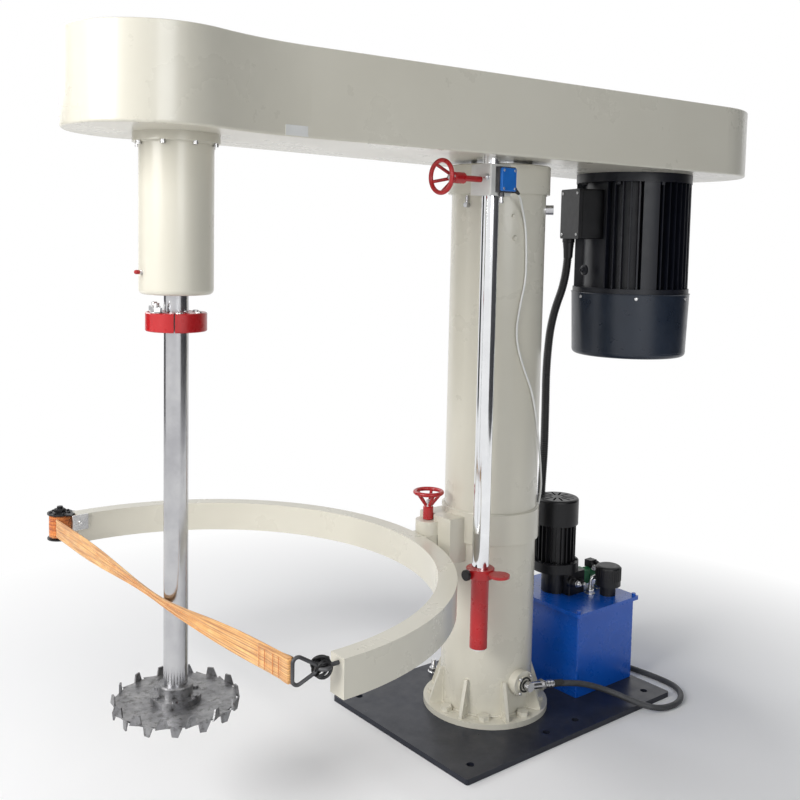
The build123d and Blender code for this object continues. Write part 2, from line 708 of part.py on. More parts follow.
def finned_barrel(barrel_d, fin_d, fin_t, count, z0, z1, x, y, skipped=()):
    """A motor barrel with radial fins, leaving out the fins at the skipped angles."""
    barrel = rod(barrel_d, z0, z1, x, y)
    step = 360.0 / count
    fin = block(x + barrel_d / 2 - fin_t, x + fin_d / 2, y - fin_t / 2, y + fin_t / 2, z0, z1)
    axis = Axis((x, y, 0), (0, 0, 1))
    fins = []
    for i in range(count):
        angle = i * step
        near = [abs((angle - a + 180) % 360 - 180) < half for a, half in skipped]
        if not any(near):
            fins.append(fin.rotate(axis, angle))
    return barrel.fuse(*fins)


def pump_box():
    y0 = PUMP_Y + PUMP_BARREL_OD / 2 - TANK_WALL
    y1 = PUMP_Y + PUMP_FIN_OD / 2 + PUMP_BOX_REACH
    z0 = PUMP_BODY_Z0 + TANK_WALL
    z1 = z0 + PUMP_BOX_H
    box = block(PUMP_X - PUMP_BOX_W / 2, PUMP_X + PUMP_BOX_W / 2, y0, y1, z0, z1)
    gland_top = CONDUIT_POINTS[-1][2]
    return box + rod(GLAND_OD, z1, gland_top, PUMP_GLAND_X, PUMP_GLAND_Y)


def pump_motor_body():
    flange = rod(PUMP_FLANGE_OD, MANIFOLD_TOP, PUMP_BODY_Z0, PUMP_X, PUMP_Y)
    skipped = ((90.0, 40.0),)
    barrel = finned_barrel(
        PUMP_BARREL_OD,
        PUMP_FIN_OD,
        PUMP_FIN_T,
        PUMP_FIN_COUNT,
        PUMP_BODY_Z0,
        PUMP_BODY_Z1,
        PUMP_X,
        PUMP_Y,
        skipped,
    )
    body = flange + barrel + pump_box()
    body -= rod(PUMP_STATOR_BORE, PUMP_BODY_Z0, PUMP_BODY_Z1, PUMP_X, PUMP_Y)
    return body - rod(PUMP_SHAFT_D + 2 * RUN_FIT, MANIFOLD_TOP, PUMP_BODY_Z0, PUMP_X, PUMP_Y)


def pump_motor_cowl():
    top = PUMP_BODY_Z1 + PUMP_COWL_H
    shell = rod(PUMP_COWL_OD, PUMP_BODY_Z1, top, PUMP_X, PUMP_Y)
    shell = fillet(shell.edges().group_by(Axis.Z)[-1], PUMP_COWL_EDGE_R)
    shell -= rod(PUMP_COWL_OD - 2 * COWL_WALL, PUMP_BODY_Z1, top - COWL_WALL, PUMP_X, PUMP_Y)
    shell += rod(PUMP_COWL_OD - COWL_WALL, PUMP_BODY_Z1, PUMP_BODY_Z1 + COWL_WALL, PUMP_X, PUMP_Y)
    shell -= rod(PUMP_STATOR_BORE, PUMP_BODY_Z1, PUMP_BODY_Z1 + COWL_WALL, PUMP_X, PUMP_Y)
    x0, x1, half = PUMP_X + PUMP_SLOT_R0, PUMP_X + PUMP_FAN_OD / 2, PUMP_SLOT_W / 2
    slot = block(x0, x1, PUMP_Y - half, PUMP_Y + half, top - COWL_WALL, top)
    for cut in around(slot, PUMP_SLOTS, 0.0, PUMP_X, PUMP_Y):
        shell -= cut
    return shell


def pump_rotor():
    """The pump motor's shaft with its core, fan and the drive end that reaches the pump."""
    core_z0 = PUMP_BODY_Z0 + PUMP_FIN_T
    core = rod(PUMP_STATOR_BORE - 2 * AIR_GAP, core_z0, PUMP_BODY_Z1 - PUMP_FIN_T, PUMP_X, PUMP_Y)
    fan_z0 = PUMP_BODY_Z1 + PUMP_FAN_H
    fan = rod(PUMP_FAN_OD, fan_z0, fan_z0 + COWL_WALL, PUMP_X, PUMP_Y)
    blade = block(PUMP_X, PUMP_X + PUMP_FAN_OD / 2, PUMP_Y - 1, PUMP_Y + 1, fan_z0, fan_z0 + PUMP_FAN_H)
    shaft = rod(PUMP_SHAFT_D, TANK_TOP - LID_T, fan_z0 + PUMP_FAN_H, PUMP_X, PUMP_Y)
    return shaft.fuse(core, fan, *around(blade, PUMP_BLADES, 0.0, PUMP_X, PUMP_Y))


def solenoid_valve():
    z = LID_TOP + MANIFOLD_H / 2
    half = VALVE_BODY / 2
    body = block(MANIFOLD_X1, MANIFOLD_X1 + VALVE_BODY, -half, half, z - half, z + half)
    coil = fillet(rod(COIL_OD, 0, COIL_L).edges().group_by(Axis.Z)[-1], EDGE_BEVEL)
    return body + along_x(coil, MANIFOLD_X1 + VALVE_BODY, 0, z)


def filler_breather():
    neck = rod(BREATHER_NECK_OD, LID_TOP, LID_TOP + BREATHER_H / 2, BREATHER_X, BREATHER_Y)
    cap_z0 = LID_TOP + BREATHER_H / 3
    cap = rod(BREATHER_CAP_OD, cap_z0, LID_TOP + BREATHER_H, BREATHER_X, BREATHER_Y)
    cap = fillet(cap.edges().group_by(Axis.Z)[-1], 10.0)
    return neck + cap


def gear_pump():
    """The pump that hangs from the lid inside the tank, with its suction pipe."""
    half = GEAR_PUMP_W / 2
    z0 = TANK_TOP - GEAR_PUMP_H
    body = block(PUMP_X - half, PUMP_X + half, PUMP_Y - half, PUMP_Y + half, z0, TANK_TOP)
    body = fillet(body.edges().filter_by(Axis.Z), 10.0)
    body -= rod(PUMP_SHAFT_D + 2 * RUN_FIT, TANK_TOP - LID_T, TANK_TOP, PUMP_X, PUMP_Y)
    return body + rod(SUCTION_OD, SUCTION_FOOT_Z, z0, PUMP_X, PUMP_Y)


# Head: beam, ram and guide rod
def beam_outline():
    """Two round ends joined by straight sides that run into a concave waist behind the nose."""
    nose = Vector(NOSE_X, 0)
    tail = Vector(TAIL_X, 0)
    waist = Vector(WAIST_X, WAIST_HALF)
    span = tail - waist
    side_angle = math.atan2(span.Y, span.X) + math.asin(TAIL_R / span.length)
    along = Vector(math.cos(side_angle), math.sin(side_angle))
    out = Vector(-math.sin(side_angle), math.cos(side_angle))
    tail_point = tail + out * TAIL_R
    from_nose = waist + out * WAIST_ARC_R - nose
    reach = NOSE_R + WAIST_ARC_R
    lean = from_nose.dot(along)
    shift = -lean + math.sqrt(lean**2 - from_nose.length**2 + reach**2)
    arc_centre = waist + along * shift + out * WAIST_ARC_R
    side_point = arc_centre - out * WAIST_ARC_R
    toward_nose = (nose - arc_centre).normalized()
    nose_point = arc_centre + toward_nose * WAIST_ARC_R
    middle = arc_centre + (toward_nose - out).normalized() * WAIST_ARC_R

    def over(p):
        return Vector(p.X, -p.Y)

    edges = [
        ThreePointArc(over(nose_point), nose - Vector(NOSE_R, 0), nose_point),
        ThreePointArc(nose_point, middle, side_point),
        Line(side_point, tail_point),
        ThreePointArc(tail_point, tail + Vector(TAIL_R, 0), over(tail_point)),
        Line(over(tail_point), over(side_point)),
        ThreePointArc(over(side_point), over(middle), over(nose_point)),
    ]
    return make_face(Curve() + edges)


def bolt_spots(count, circle, x, start=0.0):
    turns = [math.radians(start + i * 360.0 / count) for i in range(count)]
    return [(x + circle / 2 * math.cos(t), circle / 2 * math.sin(t)) for t in turns]


def beam_shell():
    outline = beam_outline()
    inner = offset(outline, -BEAM_WALL)
    shell = Pos(0, 0, BEAM_Z0) * extrude(outline, BEAM_HEIGHT - BEAM_LID_T)
    shell = fillet(shell.edges().group_by(Axis.Z)[0], BEAM_WALL)
    shell -= Pos(0, 0, FLOOR_TOP) * extrude(inner, BEAM_HEIGHT)
    for d, x, y in (
        (RAM_OD, 0, 0),
        (ROD_D, ROD_X, ROD_Y),
        (HOUSING_BORE, SPINDLE_X, 0),
        (STATOR_BORE / 2, MOTOR_X, 0),
    ):
        shell -= rod(d, BEAM_Z0, FLOOR_TOP, x, y)
    for x, y in bolt_spots(HOUSING_BOLT_COUNT, HOUSING_BOLT_CIRCLE, SPINDLE_X):
        shell -= rod(HOUSING_BOLT_D, BEAM_Z0, FLOOR_TOP, x, y)
    return shell


def beam_lid():
    lid = Pos(0, 0, BEAM_TOP - BEAM_LID_T) * extrude(beam_outline(), BEAM_LID_T)
    return chamfer(lid.edges().group_by(Axis.Z)[-1], BEAM_LID_T / 3)


def ram():
    top = FLOOR_TOP + RAM_FLANGE_T
    body = rod(RAM_OD, RAM_FOOT_Z, top) + rod(RAM_FLANGE_OD, FLOOR_TOP, top)
    return body - rod(RAM_OD - 2 * RAM_WALL, RAM_FOOT_Z, top)


def ram_piston():
    """The piston head closes the ram's foot; its spigot fits the ram's bore."""
    head = rod(COLUMN_BORE - 2 * RUN_FIT, RAM_FOOT_Z - PISTON_T, RAM_FOOT_Z)
    return head + rod(RAM_OD - 2 * RAM_WALL, RAM_FOOT_Z, RAM_FOOT_Z + PISTON_T)


def guide_rod():
    thin = SLEEVE_OD - 2 * SLEEVE_WALL
    top = FLOOR_TOP + ROD_NUT_H + BEAM_WALL
    bar = rod(ROD_D, SLEEVE_TOP_Z, top, ROD_X, ROD_Y) + rod(thin, ROD_FOOT_Z, SLEEVE_TOP_Z, ROD_X, ROD_Y)
    nut = hex_head(ROD_NUT_OD, FLOOR_TOP, FLOOR_TOP + ROD_NUT_H, ROD_X, ROD_Y)
    return [bar, nut - rod(ROD_D, FLOOR_TOP, top, ROD_X, ROD_Y)]


def rod_sleeve():
    thin = SLEEVE_OD - 2 * SLEEVE_WALL
    return ring(SLEEVE_OD, thin, ROD_FOOT_Z + SLEEVE_WALL, SLEEVE_TOP_Z, ROD_X, ROD_Y)


def striker_collar():
    """The clamp collar on the rod, with the round plate that trips the limit switch."""
    z1 = SLEEVE_TOP_Z + STOP_H
    body = rod(STOP_OD, SLEEVE_TOP_Z, z1, ROD_X, ROD_Y)
    body = chamfer(body.edges().group_by(Axis.Z)[-1], 2.0)
    plate_z0 = STRIKER_TOP_Z - STRIKER_T
    reach = math.hypot(STRIKER_X - ROD_X, STRIKER_Y - ROD_Y)
    turn = math.degrees(math.atan2(STRIKER_Y - ROD_Y, STRIKER_X - ROD_X))
    neck = block(0, reach, -STRIKER_R / 2, STRIKER_R / 2, plate_z0, STRIKER_TOP_Z).rotate(Axis.Z, turn)
    body += Pos(ROD_X, ROD_Y, 0) * neck
    body += rod(2 * STRIKER_R, plate_z0, STRIKER_TOP_Z, STRIKER_X, STRIKER_Y)
    return body - rod(ROD_D, 0, z1, ROD_X, ROD_Y)


def striker_knob():
    stem = rod(KNOB_STEM_D, 0, KNOB_STEM_L)
    grip = rod(KNOB_OD, KNOB_STEM_L, KNOB_STEM_L + KNOB_T)
    grip = fillet(grip.edges(), 2.0)
    z = SLEEVE_TOP_Z + STOP_H / 2
    knob = along_x(stem + grip + rod(KNOB_STEM_D, -STOP_OD / 8, 0), ROD_X - STOP_OD / 2, ROD_Y, z, -1)
    return knob - rod(STOP_OD, SLEEVE_TOP_Z, SLEEVE_TOP_Z + STOP_H, ROD_X, ROD_Y)


# Spindle housing and belts
def spindle_housing():
    flange_z0 = BEAM_Z0 - HOUSING_FLANGE_T
    body = rod(HOUSING_OD, HOUSING_Z0, BEAM_Z0, SPINDLE_X)
    body = fillet(body.edges().group_by(Axis.Z)[0], HOUSING_EDGE_R)
    body += rod(HOUSING_FLANGE_OD, flange_z0, BEAM_Z0, SPINDLE_X)
    body -= rod(HOUSING_BORE, HOUSING_Z0 + BEARING_LIP, BEAM_Z0, SPINDLE_X)
    body -= rod(SPINDLE_D + 2 * SEAT_GAP, HOUSING_Z0, HOUSING_Z0 + BEARING_LIP, SPINDLE_X)
    for z0 in bearing_feet():
        body -= rod(BEARING_OD, z0, z0 + BEARING_H, SPINDLE_X)
    for x, y in bolt_spots(HOUSING_BOLT_COUNT, HOUSING_BOLT_CIRCLE, SPINDLE_X):
        body -= rod(HOUSING_BOLT_D, flange_z0, BEAM_Z0, x, y)
    return body


def bearing_feet():
    return (HOUSING_Z0 + BEARING_LIP, BEAM_Z0 - BEARING_H)


def spindle_bearings():
    return [ring(BEARING_OD, SHAFT_BORE, z0, z0 + BEARING_H, SPINDLE_X) for z0 in bearing_feet()]


def housing_bolts():
    under = BEAM_Z0 - HOUSING_FLANGE_T
    head_d = HEAD_ACROSS * HOUSING_BOLT_D
    bolts = []
    for x, y in bolt_spots(HOUSING_BOLT_COUNT, HOUSING_BOLT_CIRCLE, SPINDLE_X):
        head = rod(head_d, under - HOUSING_BOLT_D, under, x, y)
        bolts.append(head + rod(HOUSING_BOLT_D, under, FLOOR_TOP, x, y))
    return bolts


def drive_belts():
    """Wedge belts that run in the pulleys' grooves, just clear of the groove walls."""
    r1 = SPINDLE_PULLEY_D / 2
    r2 = MOTOR_PULLEY_D / 2
    lean = -(r2 - r1) / (MOTOR_X - SPINDLE_X)
    out = Vector(lean, math.sqrt(1 - lean**2), 0)
    over = Vector(out.X, -out.Y, 0)
    foot = BELT_TOP_W / 2 - BELT_DEPTH * math.tan(math.radians(BELT_WEDGE))
    belts = []
    for i in range(BELT_COUNT):
        z = BELT_Z + (i - (BELT_COUNT - 1) / 2) * BELT_PITCH
        c1 = Vector(SPINDLE_X, 0, z)
        c2 = Vector(MOTOR_X, 0, z)
        edges = [
            Line(c1 + out * r1, c2 + out * r2),
            ThreePointArc(c2 + out * r2, c2 + Vector(r2, 0, 0), c2 + over * r2),
            Line(c2 + over * r2, c1 + over * r1),
            ThreePointArc(c1 + over * r1, c1 - Vector(r1, 0, 0), c1 + out * r1),
        ]
        start = Plane(origin=c1 + out * r1, x_dir=out, z_dir=c2 + out * r2 - c1 - out * r1)
        half = BELT_TOP_W / 2
        corners = [(0, -half), (0, half), (-BELT_DEPTH, foot), (-BELT_DEPTH, -foot)]
        section = start * make_face(Polyline(*corners, close=True))
        belts.append(sweep(section, path=Wire(edges)))
    return belts


def pulley(outer_d, bore_d, x):
    """A grooved rim on a web and hub, turned as one profile."""
    r = outer_d / 2
    body = ring(outer_d, outer_d - 2 * (PULLEY_RIM_T + BELT_DEPTH), PULLEY_Z0, PULLEY_Z1, x)
    body += ring(outer_d - 2 * BELT_DEPTH, bore_d, BELT_Z - PULLEY_WEB_T / 2, BELT_Z + PULLEY_WEB_T / 2, x)
    body += ring(bore_d + 2 * PULLEY_WEB_T, bore_d, PULLEY_Z0, PULLEY_Z1, x)
    mouth = BELT_TOP_W / 2 + 1.5 * SEAT_GAP
    depth = BELT_DEPTH + 2.0
    foot = mouth - depth * math.tan(math.radians(BELT_WEDGE))
    for i in range(BELT_COUNT):
        z = BELT_Z + (i - (BELT_COUNT - 1) / 2) * BELT_PITCH
        corners = [(r + 1, z - mouth), (r + 1, z + mouth), (r, z + mouth), (r - depth, z + foot)]
        corners += [(r - depth, z - foot), (r, z - mouth)]
        groove = Plane.XZ * make_face(Polyline(*corners, close=True))
        body -= Pos(x, 0, 0) * revolve(groove, Axis.Z)
    return body


def spindle_pulley():
    return pulley(SPINDLE_PULLEY_D, SPINDLE_D, SPINDLE_X)


def motor_pulley():
    return pulley(MOTOR_PULLEY_D, MOTOR_SHAFT_D, MOTOR_X)


# Spindle, coupling and toothed disc
def spindle_shaft():
    return rod(SPINDLE_D, COUPLING_MID_Z, PULLEY_Z1 + PULLEY_RIM_T, SPINDLE_X)


def stirrer_shaft():
    return rod(SPINDLE_D, DISC_FOOT, COUPLING_MID_Z, SPINDLE_X)


def shaft_coupling():
    """Two clamp halves round the joint of the two shafts."""
    z1 = COUPLING_Z0 + COUPLING_H
    body = rod(COUPLING_OD, COUPLING_Z0, z1, SPINDLE_X)
    body = chamfer(body.edges(), 2.0)
    body -= rod(SPINDLE_D, COUPLING_Z0, z1, SPINDLE_X)
    half = COUPLING_OD / 2 + 1
    gap = block(SPINDLE_X - half, SPINDLE_X + half, -COUPLING_SPLIT / 2, COUPLING_SPLIT / 2, COUPLING_Z0, z1)
    body -= gap.rotate(Axis((SPINDLE_X, 0, 0), (0, 0, 1)), 60.0)
    for x, y in bolt_spots(COUPLING_BOLT_COUNT, COUPLING_BOLT_CIRCLE, SPINDLE_X, 30.0):
        body -= rod(COUPLING_BOLT_D, COUPLING_Z0, z1, x, y)
    return body


def coupling_bolts():
    z1 = COUPLING_Z0 + COUPLING_H
    bolts = []
    for x, y in bolt_spots(COUPLING_BOLT_COUNT, COUPLING_BOLT_CIRCLE, SPINDLE_X, 30.0):
        bolt = rod(COUPLING_BOLT_D, COUPLING_Z0, z1 + COUPLING_BOLT_STAND, x, y)
        bolt += hex_head(HEX_ACROSS * COUPLING_BOLT_D, z1, z1 + COUPLING_BOLT_D, x, y)
        bolts.append(bolt)
    return bolts


def dispersing_disc():
    """A thin disc whose edge is cut and bent into teeth, turn about up and down."""
    body = rod(2 * DISC_BODY_R, DISC_FOOT, DISC_TOP, SPINDLE_X)
    wide = TOOTH_WIDTH / 2
    corners = [(-wide, 0), (wide, 0), (TOOTH_TIP_LEAD * wide, TOOTH_HEIGHT), (-TOOTH_TIP_TRAIL * wide, TOOTH_HEIGHT)]
    tooth = extrude(Plane.YZ * make_face(Polyline(*corners, close=True)), DISC_T / 2, both=True)
    tooth = Rot(0, 0, TOOTH_SKEW) * tooth
    mid_r = TOOTH_TIP_R - wide * math.sin(math.radians(TOOTH_SKEW)) - DISC_T / 2
    upper = Pos(SPINDLE_X + mid_r, 0, DISC_FOOT) * tooth
    lower = Pos(SPINDLE_X + mid_r, 0, DISC_TOP) * Rot(180, 0, 0) * tooth
    half_step = 180.0 / TOOTH_PAIRS
    teeth = around(upper, TOOTH_PAIRS, 0.0, SPINDLE_X) + around(lower, TOOTH_PAIRS, half_step, SPINDLE_X)
    body = body.fuse(*teeth)
    body -= rod(SPINDLE_D, DISC_FOOT, DISC_TOP, SPINDLE_X)
    for x, y in bolt_spots(HUB_BOLT_COUNT, HUB_BOLT_CIRCLE, SPINDLE_X):
        body -= rod(HUB_BOLT_D, DISC_FOOT, DISC_TOP, x, y)
    return body


def disc_hub():
    """The hub above the disc with its bolts, and the plate that clamps the disc from below."""
    hub = rod(HUB_OD, DISC_TOP, DISC_TOP + HUB_T, SPINDLE_X)
    hub += rod(HUB_NECK_OD, DISC_TOP, DISC_TOP + HUB_T + HUB_NECK_H, SPINDLE_X)
    hub = chamfer(hub.edges().group_by(Axis.Z)[-1], EDGE_BEVEL)
    hub -= rod(SPINDLE_D, DISC_TOP, DISC_TOP + HUB_T + HUB_NECK_H, SPINDLE_X)
    under = DISC_FOOT - HUB_T / 2
    plate = rod(HUB_OD, under, DISC_FOOT, SPINDLE_X)
    for x, y in bolt_spots(HUB_BOLT_COUNT, HUB_BOLT_CIRCLE, SPINDLE_X):
        top = DISC_TOP + HUB_T
        hub += rod(HEX_ACROSS * HUB_BOLT_D, top, top + HUB_BOLT_D / 2, x, y)
        hub += rod(HUB_BOLT_D, DISC_FOOT, top, x, y)
    return [hub, plate]


# Drive motor
def motor_frame():
    lap = math.degrees(math.asin((TERMINAL_WIDTH / 2 + MOTOR_FIN_T) / (MOTOR_BARREL_OD / 2)))
    skipped = ((TERMINAL_ANGLE, lap), (BAND_ANGLE, BAND_HALF + 2))
    body = finned_barrel(
        MOTOR_BARREL_OD,
        MOTOR_FIN_OD,
        MOTOR_FIN_T,
        MOTOR_FIN_COUNT,
        MOTOR_Z0,
        MOTOR_Z1,
        MOTOR_X,
        0,
        skipped,
    )
    band_half = MOTOR_FIN_OD / 2 * math.sin(math.radians(BAND_HALF))
    band = block(MOTOR_BARREL_OD / 2 - MOTOR_FIN_T, MOTOR_FIN_OD / 2, -band_half, band_half, MOTOR_Z0, MOTOR_Z1)
    band = band & rod(MOTOR_FIN_OD, MOTOR_Z0, MOTOR_Z1)
    spigot_od = cowl_bore_at_spigot() - 2 * SEAT_GAP
    body = body.fuse(
        Pos(MOTOR_X, 0, 0) * band.rotate(Axis.Z, BAND_ANGLE),
        rod(MOTOR_FIN_OD + MOTOR_FIN_T, MOTOR_Z1, BEAM_Z0, MOTOR_X),
        rod(spigot_od, MOTOR_Z0 - SHIELD_SPIGOT, MOTOR_Z0 + MOTOR_SHIELD_T, MOTOR_X),
    )
    body -= rod(STATOR_BORE, MOTOR_Z0 + MOTOR_SHIELD_T, MOTOR_Z1, MOTOR_X)
    return body - rod(MOTOR_BORE, MOTOR_Z0 - SHIELD_SPIGOT, BEAM_Z0, MOTOR_X)


def cowl_bore_at_spigot():
    taper = (COWL_TOP_OD - COWL_BOTTOM_OD) / COWL_HEIGHT
    return COWL_TOP_OD - 2 * COWL_WALL - taper * SHIELD_SPIGOT


def motor_cowl():
    """The fan cowl, a tapered cup with intake slots in its bottom."""
    corner = (Align.CENTER, Align.CENTER, Align.MIN)
    outer = Cone(COWL_BOTTOM_OD / 2, COWL_TOP_OD / 2, COWL_HEIGHT, align=corner)
    outer = fillet(outer.edges().group_by(Axis.Z)[0], COWL_EDGE_R)
    inner_h = COWL_HEIGHT - COWL_WALL
    inner = Cone(COWL_BOTTOM_OD / 2 - COWL_WALL, COWL_TOP_OD / 2 - COWL_WALL, inner_h, align=corner)
    inner = fillet(inner.edges().group_by(Axis.Z)[0], COWL_EDGE_R - COWL_WALL)
    shell = outer - Pos(0, 0, COWL_WALL) * inner
    slot = block(MOTOR_SHAFT_D, COWL_BOTTOM_OD / 2 - 2 * COWL_EDGE_R, -COWL_WEB, COWL_WEB, 0, COWL_WALL)
    for cut in around(slot, COWL_SLOTS):
        shell -= cut
    return Pos(MOTOR_X, 0, COWL_Z0) * shell


def terminal_box():
    reach = MOTOR_FIN_OD / 2 + TERMINAL_PROUD
    half = TERMINAL_WIDTH / 2
    box = block(0, reach, -half, half, TERMINAL_Z0, TERMINAL_Z1)
    box = fillet(box.edges().filter_by(Axis.X), TERMINAL_EDGE_R)
    lid_x = reach - TERMINAL_LID_T
    groove = block(lid_x - 2, lid_x, -half, half, TERMINAL_Z0, TERMINAL_Z1)
    inset = 2.0
    core = block(lid_x - 2, lid_x, inset - half, half - inset, TERMINAL_Z0 + inset, TERMINAL_Z1 - inset)
    box = box - (groove - core)
    box = Pos(MOTOR_X, 0, 0) * box.rotate(Axis.Z, TERMINAL_ANGLE)
    gland_x, gland_y, gland_z = CONDUIT_POINTS[0]
    box += rod(GLAND_OD, gland_z, TERMINAL_Z0, gland_x, gland_y)
    return box - rod(MOTOR_BARREL_OD, TERMINAL_Z0, TERMINAL_Z1, MOTOR_X)


def motor_rotor():
    core_z0 = MOTOR_Z0 + 2 * MOTOR_SHIELD_T
    core_z1 = MOTOR_Z1 - MOTOR_SHIELD_T
    core = rod(STATOR_BORE - 2 * AIR_GAP, core_z0, core_z1, MOTOR_X)
    fan_z1 = MOTOR_Z0 - SHIELD_SPIGOT - FAN_H / 4
    fan_z0 = fan_z1 - FAN_H
    plate = rod(FAN_OD, fan_z1 - MOTOR_FIN_T, fan_z1, MOTOR_X)
    blade = block(MOTOR_X, MOTOR_X + FAN_OD / 2, -MOTOR_FIN_T / 2, MOTOR_FIN_T / 2, fan_z0, fan_z1)
    shaft = rod(MOTOR_SHAFT_D, fan_z0, PULLEY_Z1 + PULLEY_RIM_T, MOTOR_X)
    return shaft.fuse(core, plate, *around(blade, FAN_BLADES, 0.0, MOTOR_X))


# Handwheels that lock the rod and the arm
def handwheel(rim_od, rise, screw_d, screw_l):
    """A spoked wheel along +Z: its hub starts at zero, its rim is at the rise, its screw goes down."""
    rim_r = (rim_od - WHEEL_RIM_D) / 2
    rim = Pos(0, 0, rise) * Torus(rim_r, WHEEL_RIM_D / 2)
    hub = rod(WHEEL_HUB_OD, 0, WHEEL_HUB_L)
    hub = chamfer(hub.edges().group_by(Axis.Z)[-1], EDGE_BEVEL)
    start_z = WHEEL_HUB_L - WHEEL_SPOKE_D
    length = math.hypot(rim_r, rise - start_z)
    lean = math.degrees(math.atan2(rim_r, rise - start_z))
    spoke = Pos(0, 0, start_z) * Rot(0, lean, 0) * rod(WHEEL_SPOKE_D, 0, length)
    screw = rod(screw_d, -screw_l, WHEEL_HUB_L / 2)
    return rim.fuse(hub, screw, *around(spoke, WHEEL_SPOKES, 180.0 / WHEEL_SPOKES))


def rod_lock_wheel():
    pad_back = ROD_X - ROD_D / 2 - SEAT_GAP - LOCK_PAD_T
    wheel = handwheel(LOCK_RIM_OD, LOCK_RIM_RISE, LOCK_SCREW_D, pad_back - LOCK_HUB_X)
    return along_x(wheel, LOCK_HUB_X, ROD_Y, LOCK_Z, -1)


def rod_lock_pad():
    face = ROD_X - ROD_D / 2 - SEAT_GAP
    return along_x(rod(LOCK_SCREW_D - SEAT_GAP, 0, LOCK_PAD_T), face, ROD_Y, LOCK_Z, -1)


def arm_lock_wheel():
    hub_z = FORK_HIGH_Z1 + SWING_GAP
    screw_l = hub_z - TONGUE_Z1 - SEAT_GAP - ARM_PAD_T
    wheel = handwheel(ARM_RIM_OD, ARM_RIM_RISE, ARM_SCREW_D, screw_l)
    return Pos(PIVOT_X, PIVOT_Y, hub_z) * wheel


def arm_lock_pad():
    z0 = TONGUE_Z1 + SEAT_GAP
    return rod(ARM_SCREW_D - SEAT_GAP, z0, z0 + ARM_PAD_T, PIVOT_X, PIVOT_Y)


# Tank arm, strap post and hook
def arm_sector(r0, r1, z0, z1):
    """A ring sector between the arm's two end angles."""
    def at(r, angle):
        turn = math.radians(angle)
        return (ARM_CENTRE_X + r * math.cos(turn), ARM_CENTRE_Y + r * math.sin(turn))

    middle = (ARM_FROM + ARM_TO) / 2
    edges = [
        ThreePointArc(at(r1, ARM_FROM), at(r1, middle), at(r1, ARM_TO)),
        Line(at(r1, ARM_TO), at(r0, ARM_TO)),
        ThreePointArc(at(r0, ARM_TO), at(r0, middle), at(r0, ARM_FROM)),
        Line(at(r0, ARM_FROM), at(r1, ARM_FROM)),
    ]
    return Pos(0, 0, z0) * extrude(make_face(Curve() + edges), z1 - z0)


def arm_bore(z0, z1):
    """The hollow of the box section; the arm's end caps stay closed."""
    r1 = ARM_OUTER_R - ARM_WALL
    r0 = ARM_OUTER_R - ARM_WIDTH + ARM_WALL
    hollow = arm_sector(r0, r1, z0, z1)
    mid_r = (r0 + r1) / 2
    for angle in (ARM_FROM, ARM_TO):
        turn = math.radians(angle)
        x = ARM_CENTRE_X + mid_r * math.cos(turn)
        y = ARM_CENTRE_Y + mid_r * math.sin(turn)
        half = ARM_WIDTH / 2
        cap = block(-half, half, -ARM_WALL, ARM_WALL, z0, z1).rotate(Axis.Z, angle)
        hollow -= Pos(x, y, 0) * cap
    return hollow


def tank_arm():
    """A hollow curved arm whose solid tongue turns in the fork on the column."""
    inner_r = ARM_OUTER_R - ARM_WIDTH
    arm = arm_sector(inner_r, ARM_OUTER_R, ARM_Z0, ARM_Z1)
    arm -= arm_bore(ARM_Z0 + ARM_WALL, ARM_Z1 - ARM_WALL)
    tongue = block(
        PIVOT_X - 2 * FORK_R, PIVOT_X, PIVOT_Y - FORK_R, PIVOT_Y + FORK_R, TONGUE_Z0, TONGUE_Z1
    )
    tongue += rod(2 * FORK_R, TONGUE_Z0, TONGUE_Z1, PIVOT_X, PIVOT_Y)
    tongue -= rod(2 * ARM_OUTER_R - ARM_WALL, TONGUE_Z0, TONGUE_Z1, ARM_CENTRE_X, ARM_CENTRE_Y)
    tongue -= rod(PIVOT_PIN_D + 2 * RUN_FIT, TONGUE_Z0, TONGUE_Z0 + PIVOT_PIN_DEPTH + 1, PIVOT_X, PIVOT_Y)
    return arm + tongue


def strap_post():
    """A spool on the arm's end: two cheek plates and the post that the webbing is wound round."""
    reach = math.hypot(POST_OUT_X, POST_OUT_Y)
    angle = math.degrees(math.atan2(POST_OUT_Y, POST_OUT_X))
    cheeks = []
    for z0 in (POST_Z0, POST_Z1 - CHEEK_T):
        plate = rod(2 * CHEEK_R, z0, z0 + CHEEK_T, POST_X, POST_Y)
        arm = block(0, reach, -ARM_WIDTH / 2, ARM_WIDTH / 2, z0, z0 + CHEEK_T).rotate(Axis.Z, angle)
        cheeks.append(plate + Pos(ARM_HEAD_X, ARM_HEAD_Y, 0) * arm)
    post = cheeks[0] + cheeks[1] + rod(POST_D, POST_Z0, POST_Z1, POST_X, POST_Y)
    return post - arm_sector(ARM_OUTER_R - ARM_WIDTH, ARM_OUTER_R, ARM_Z0, ARM_Z1 + CHEEK_T)


def strap_roll():
    return ring(ROLL_OD, POST_D, POST_Z0 + CHEEK_T, POST_Z1 - CHEEK_T, POST_X, POST_Y)


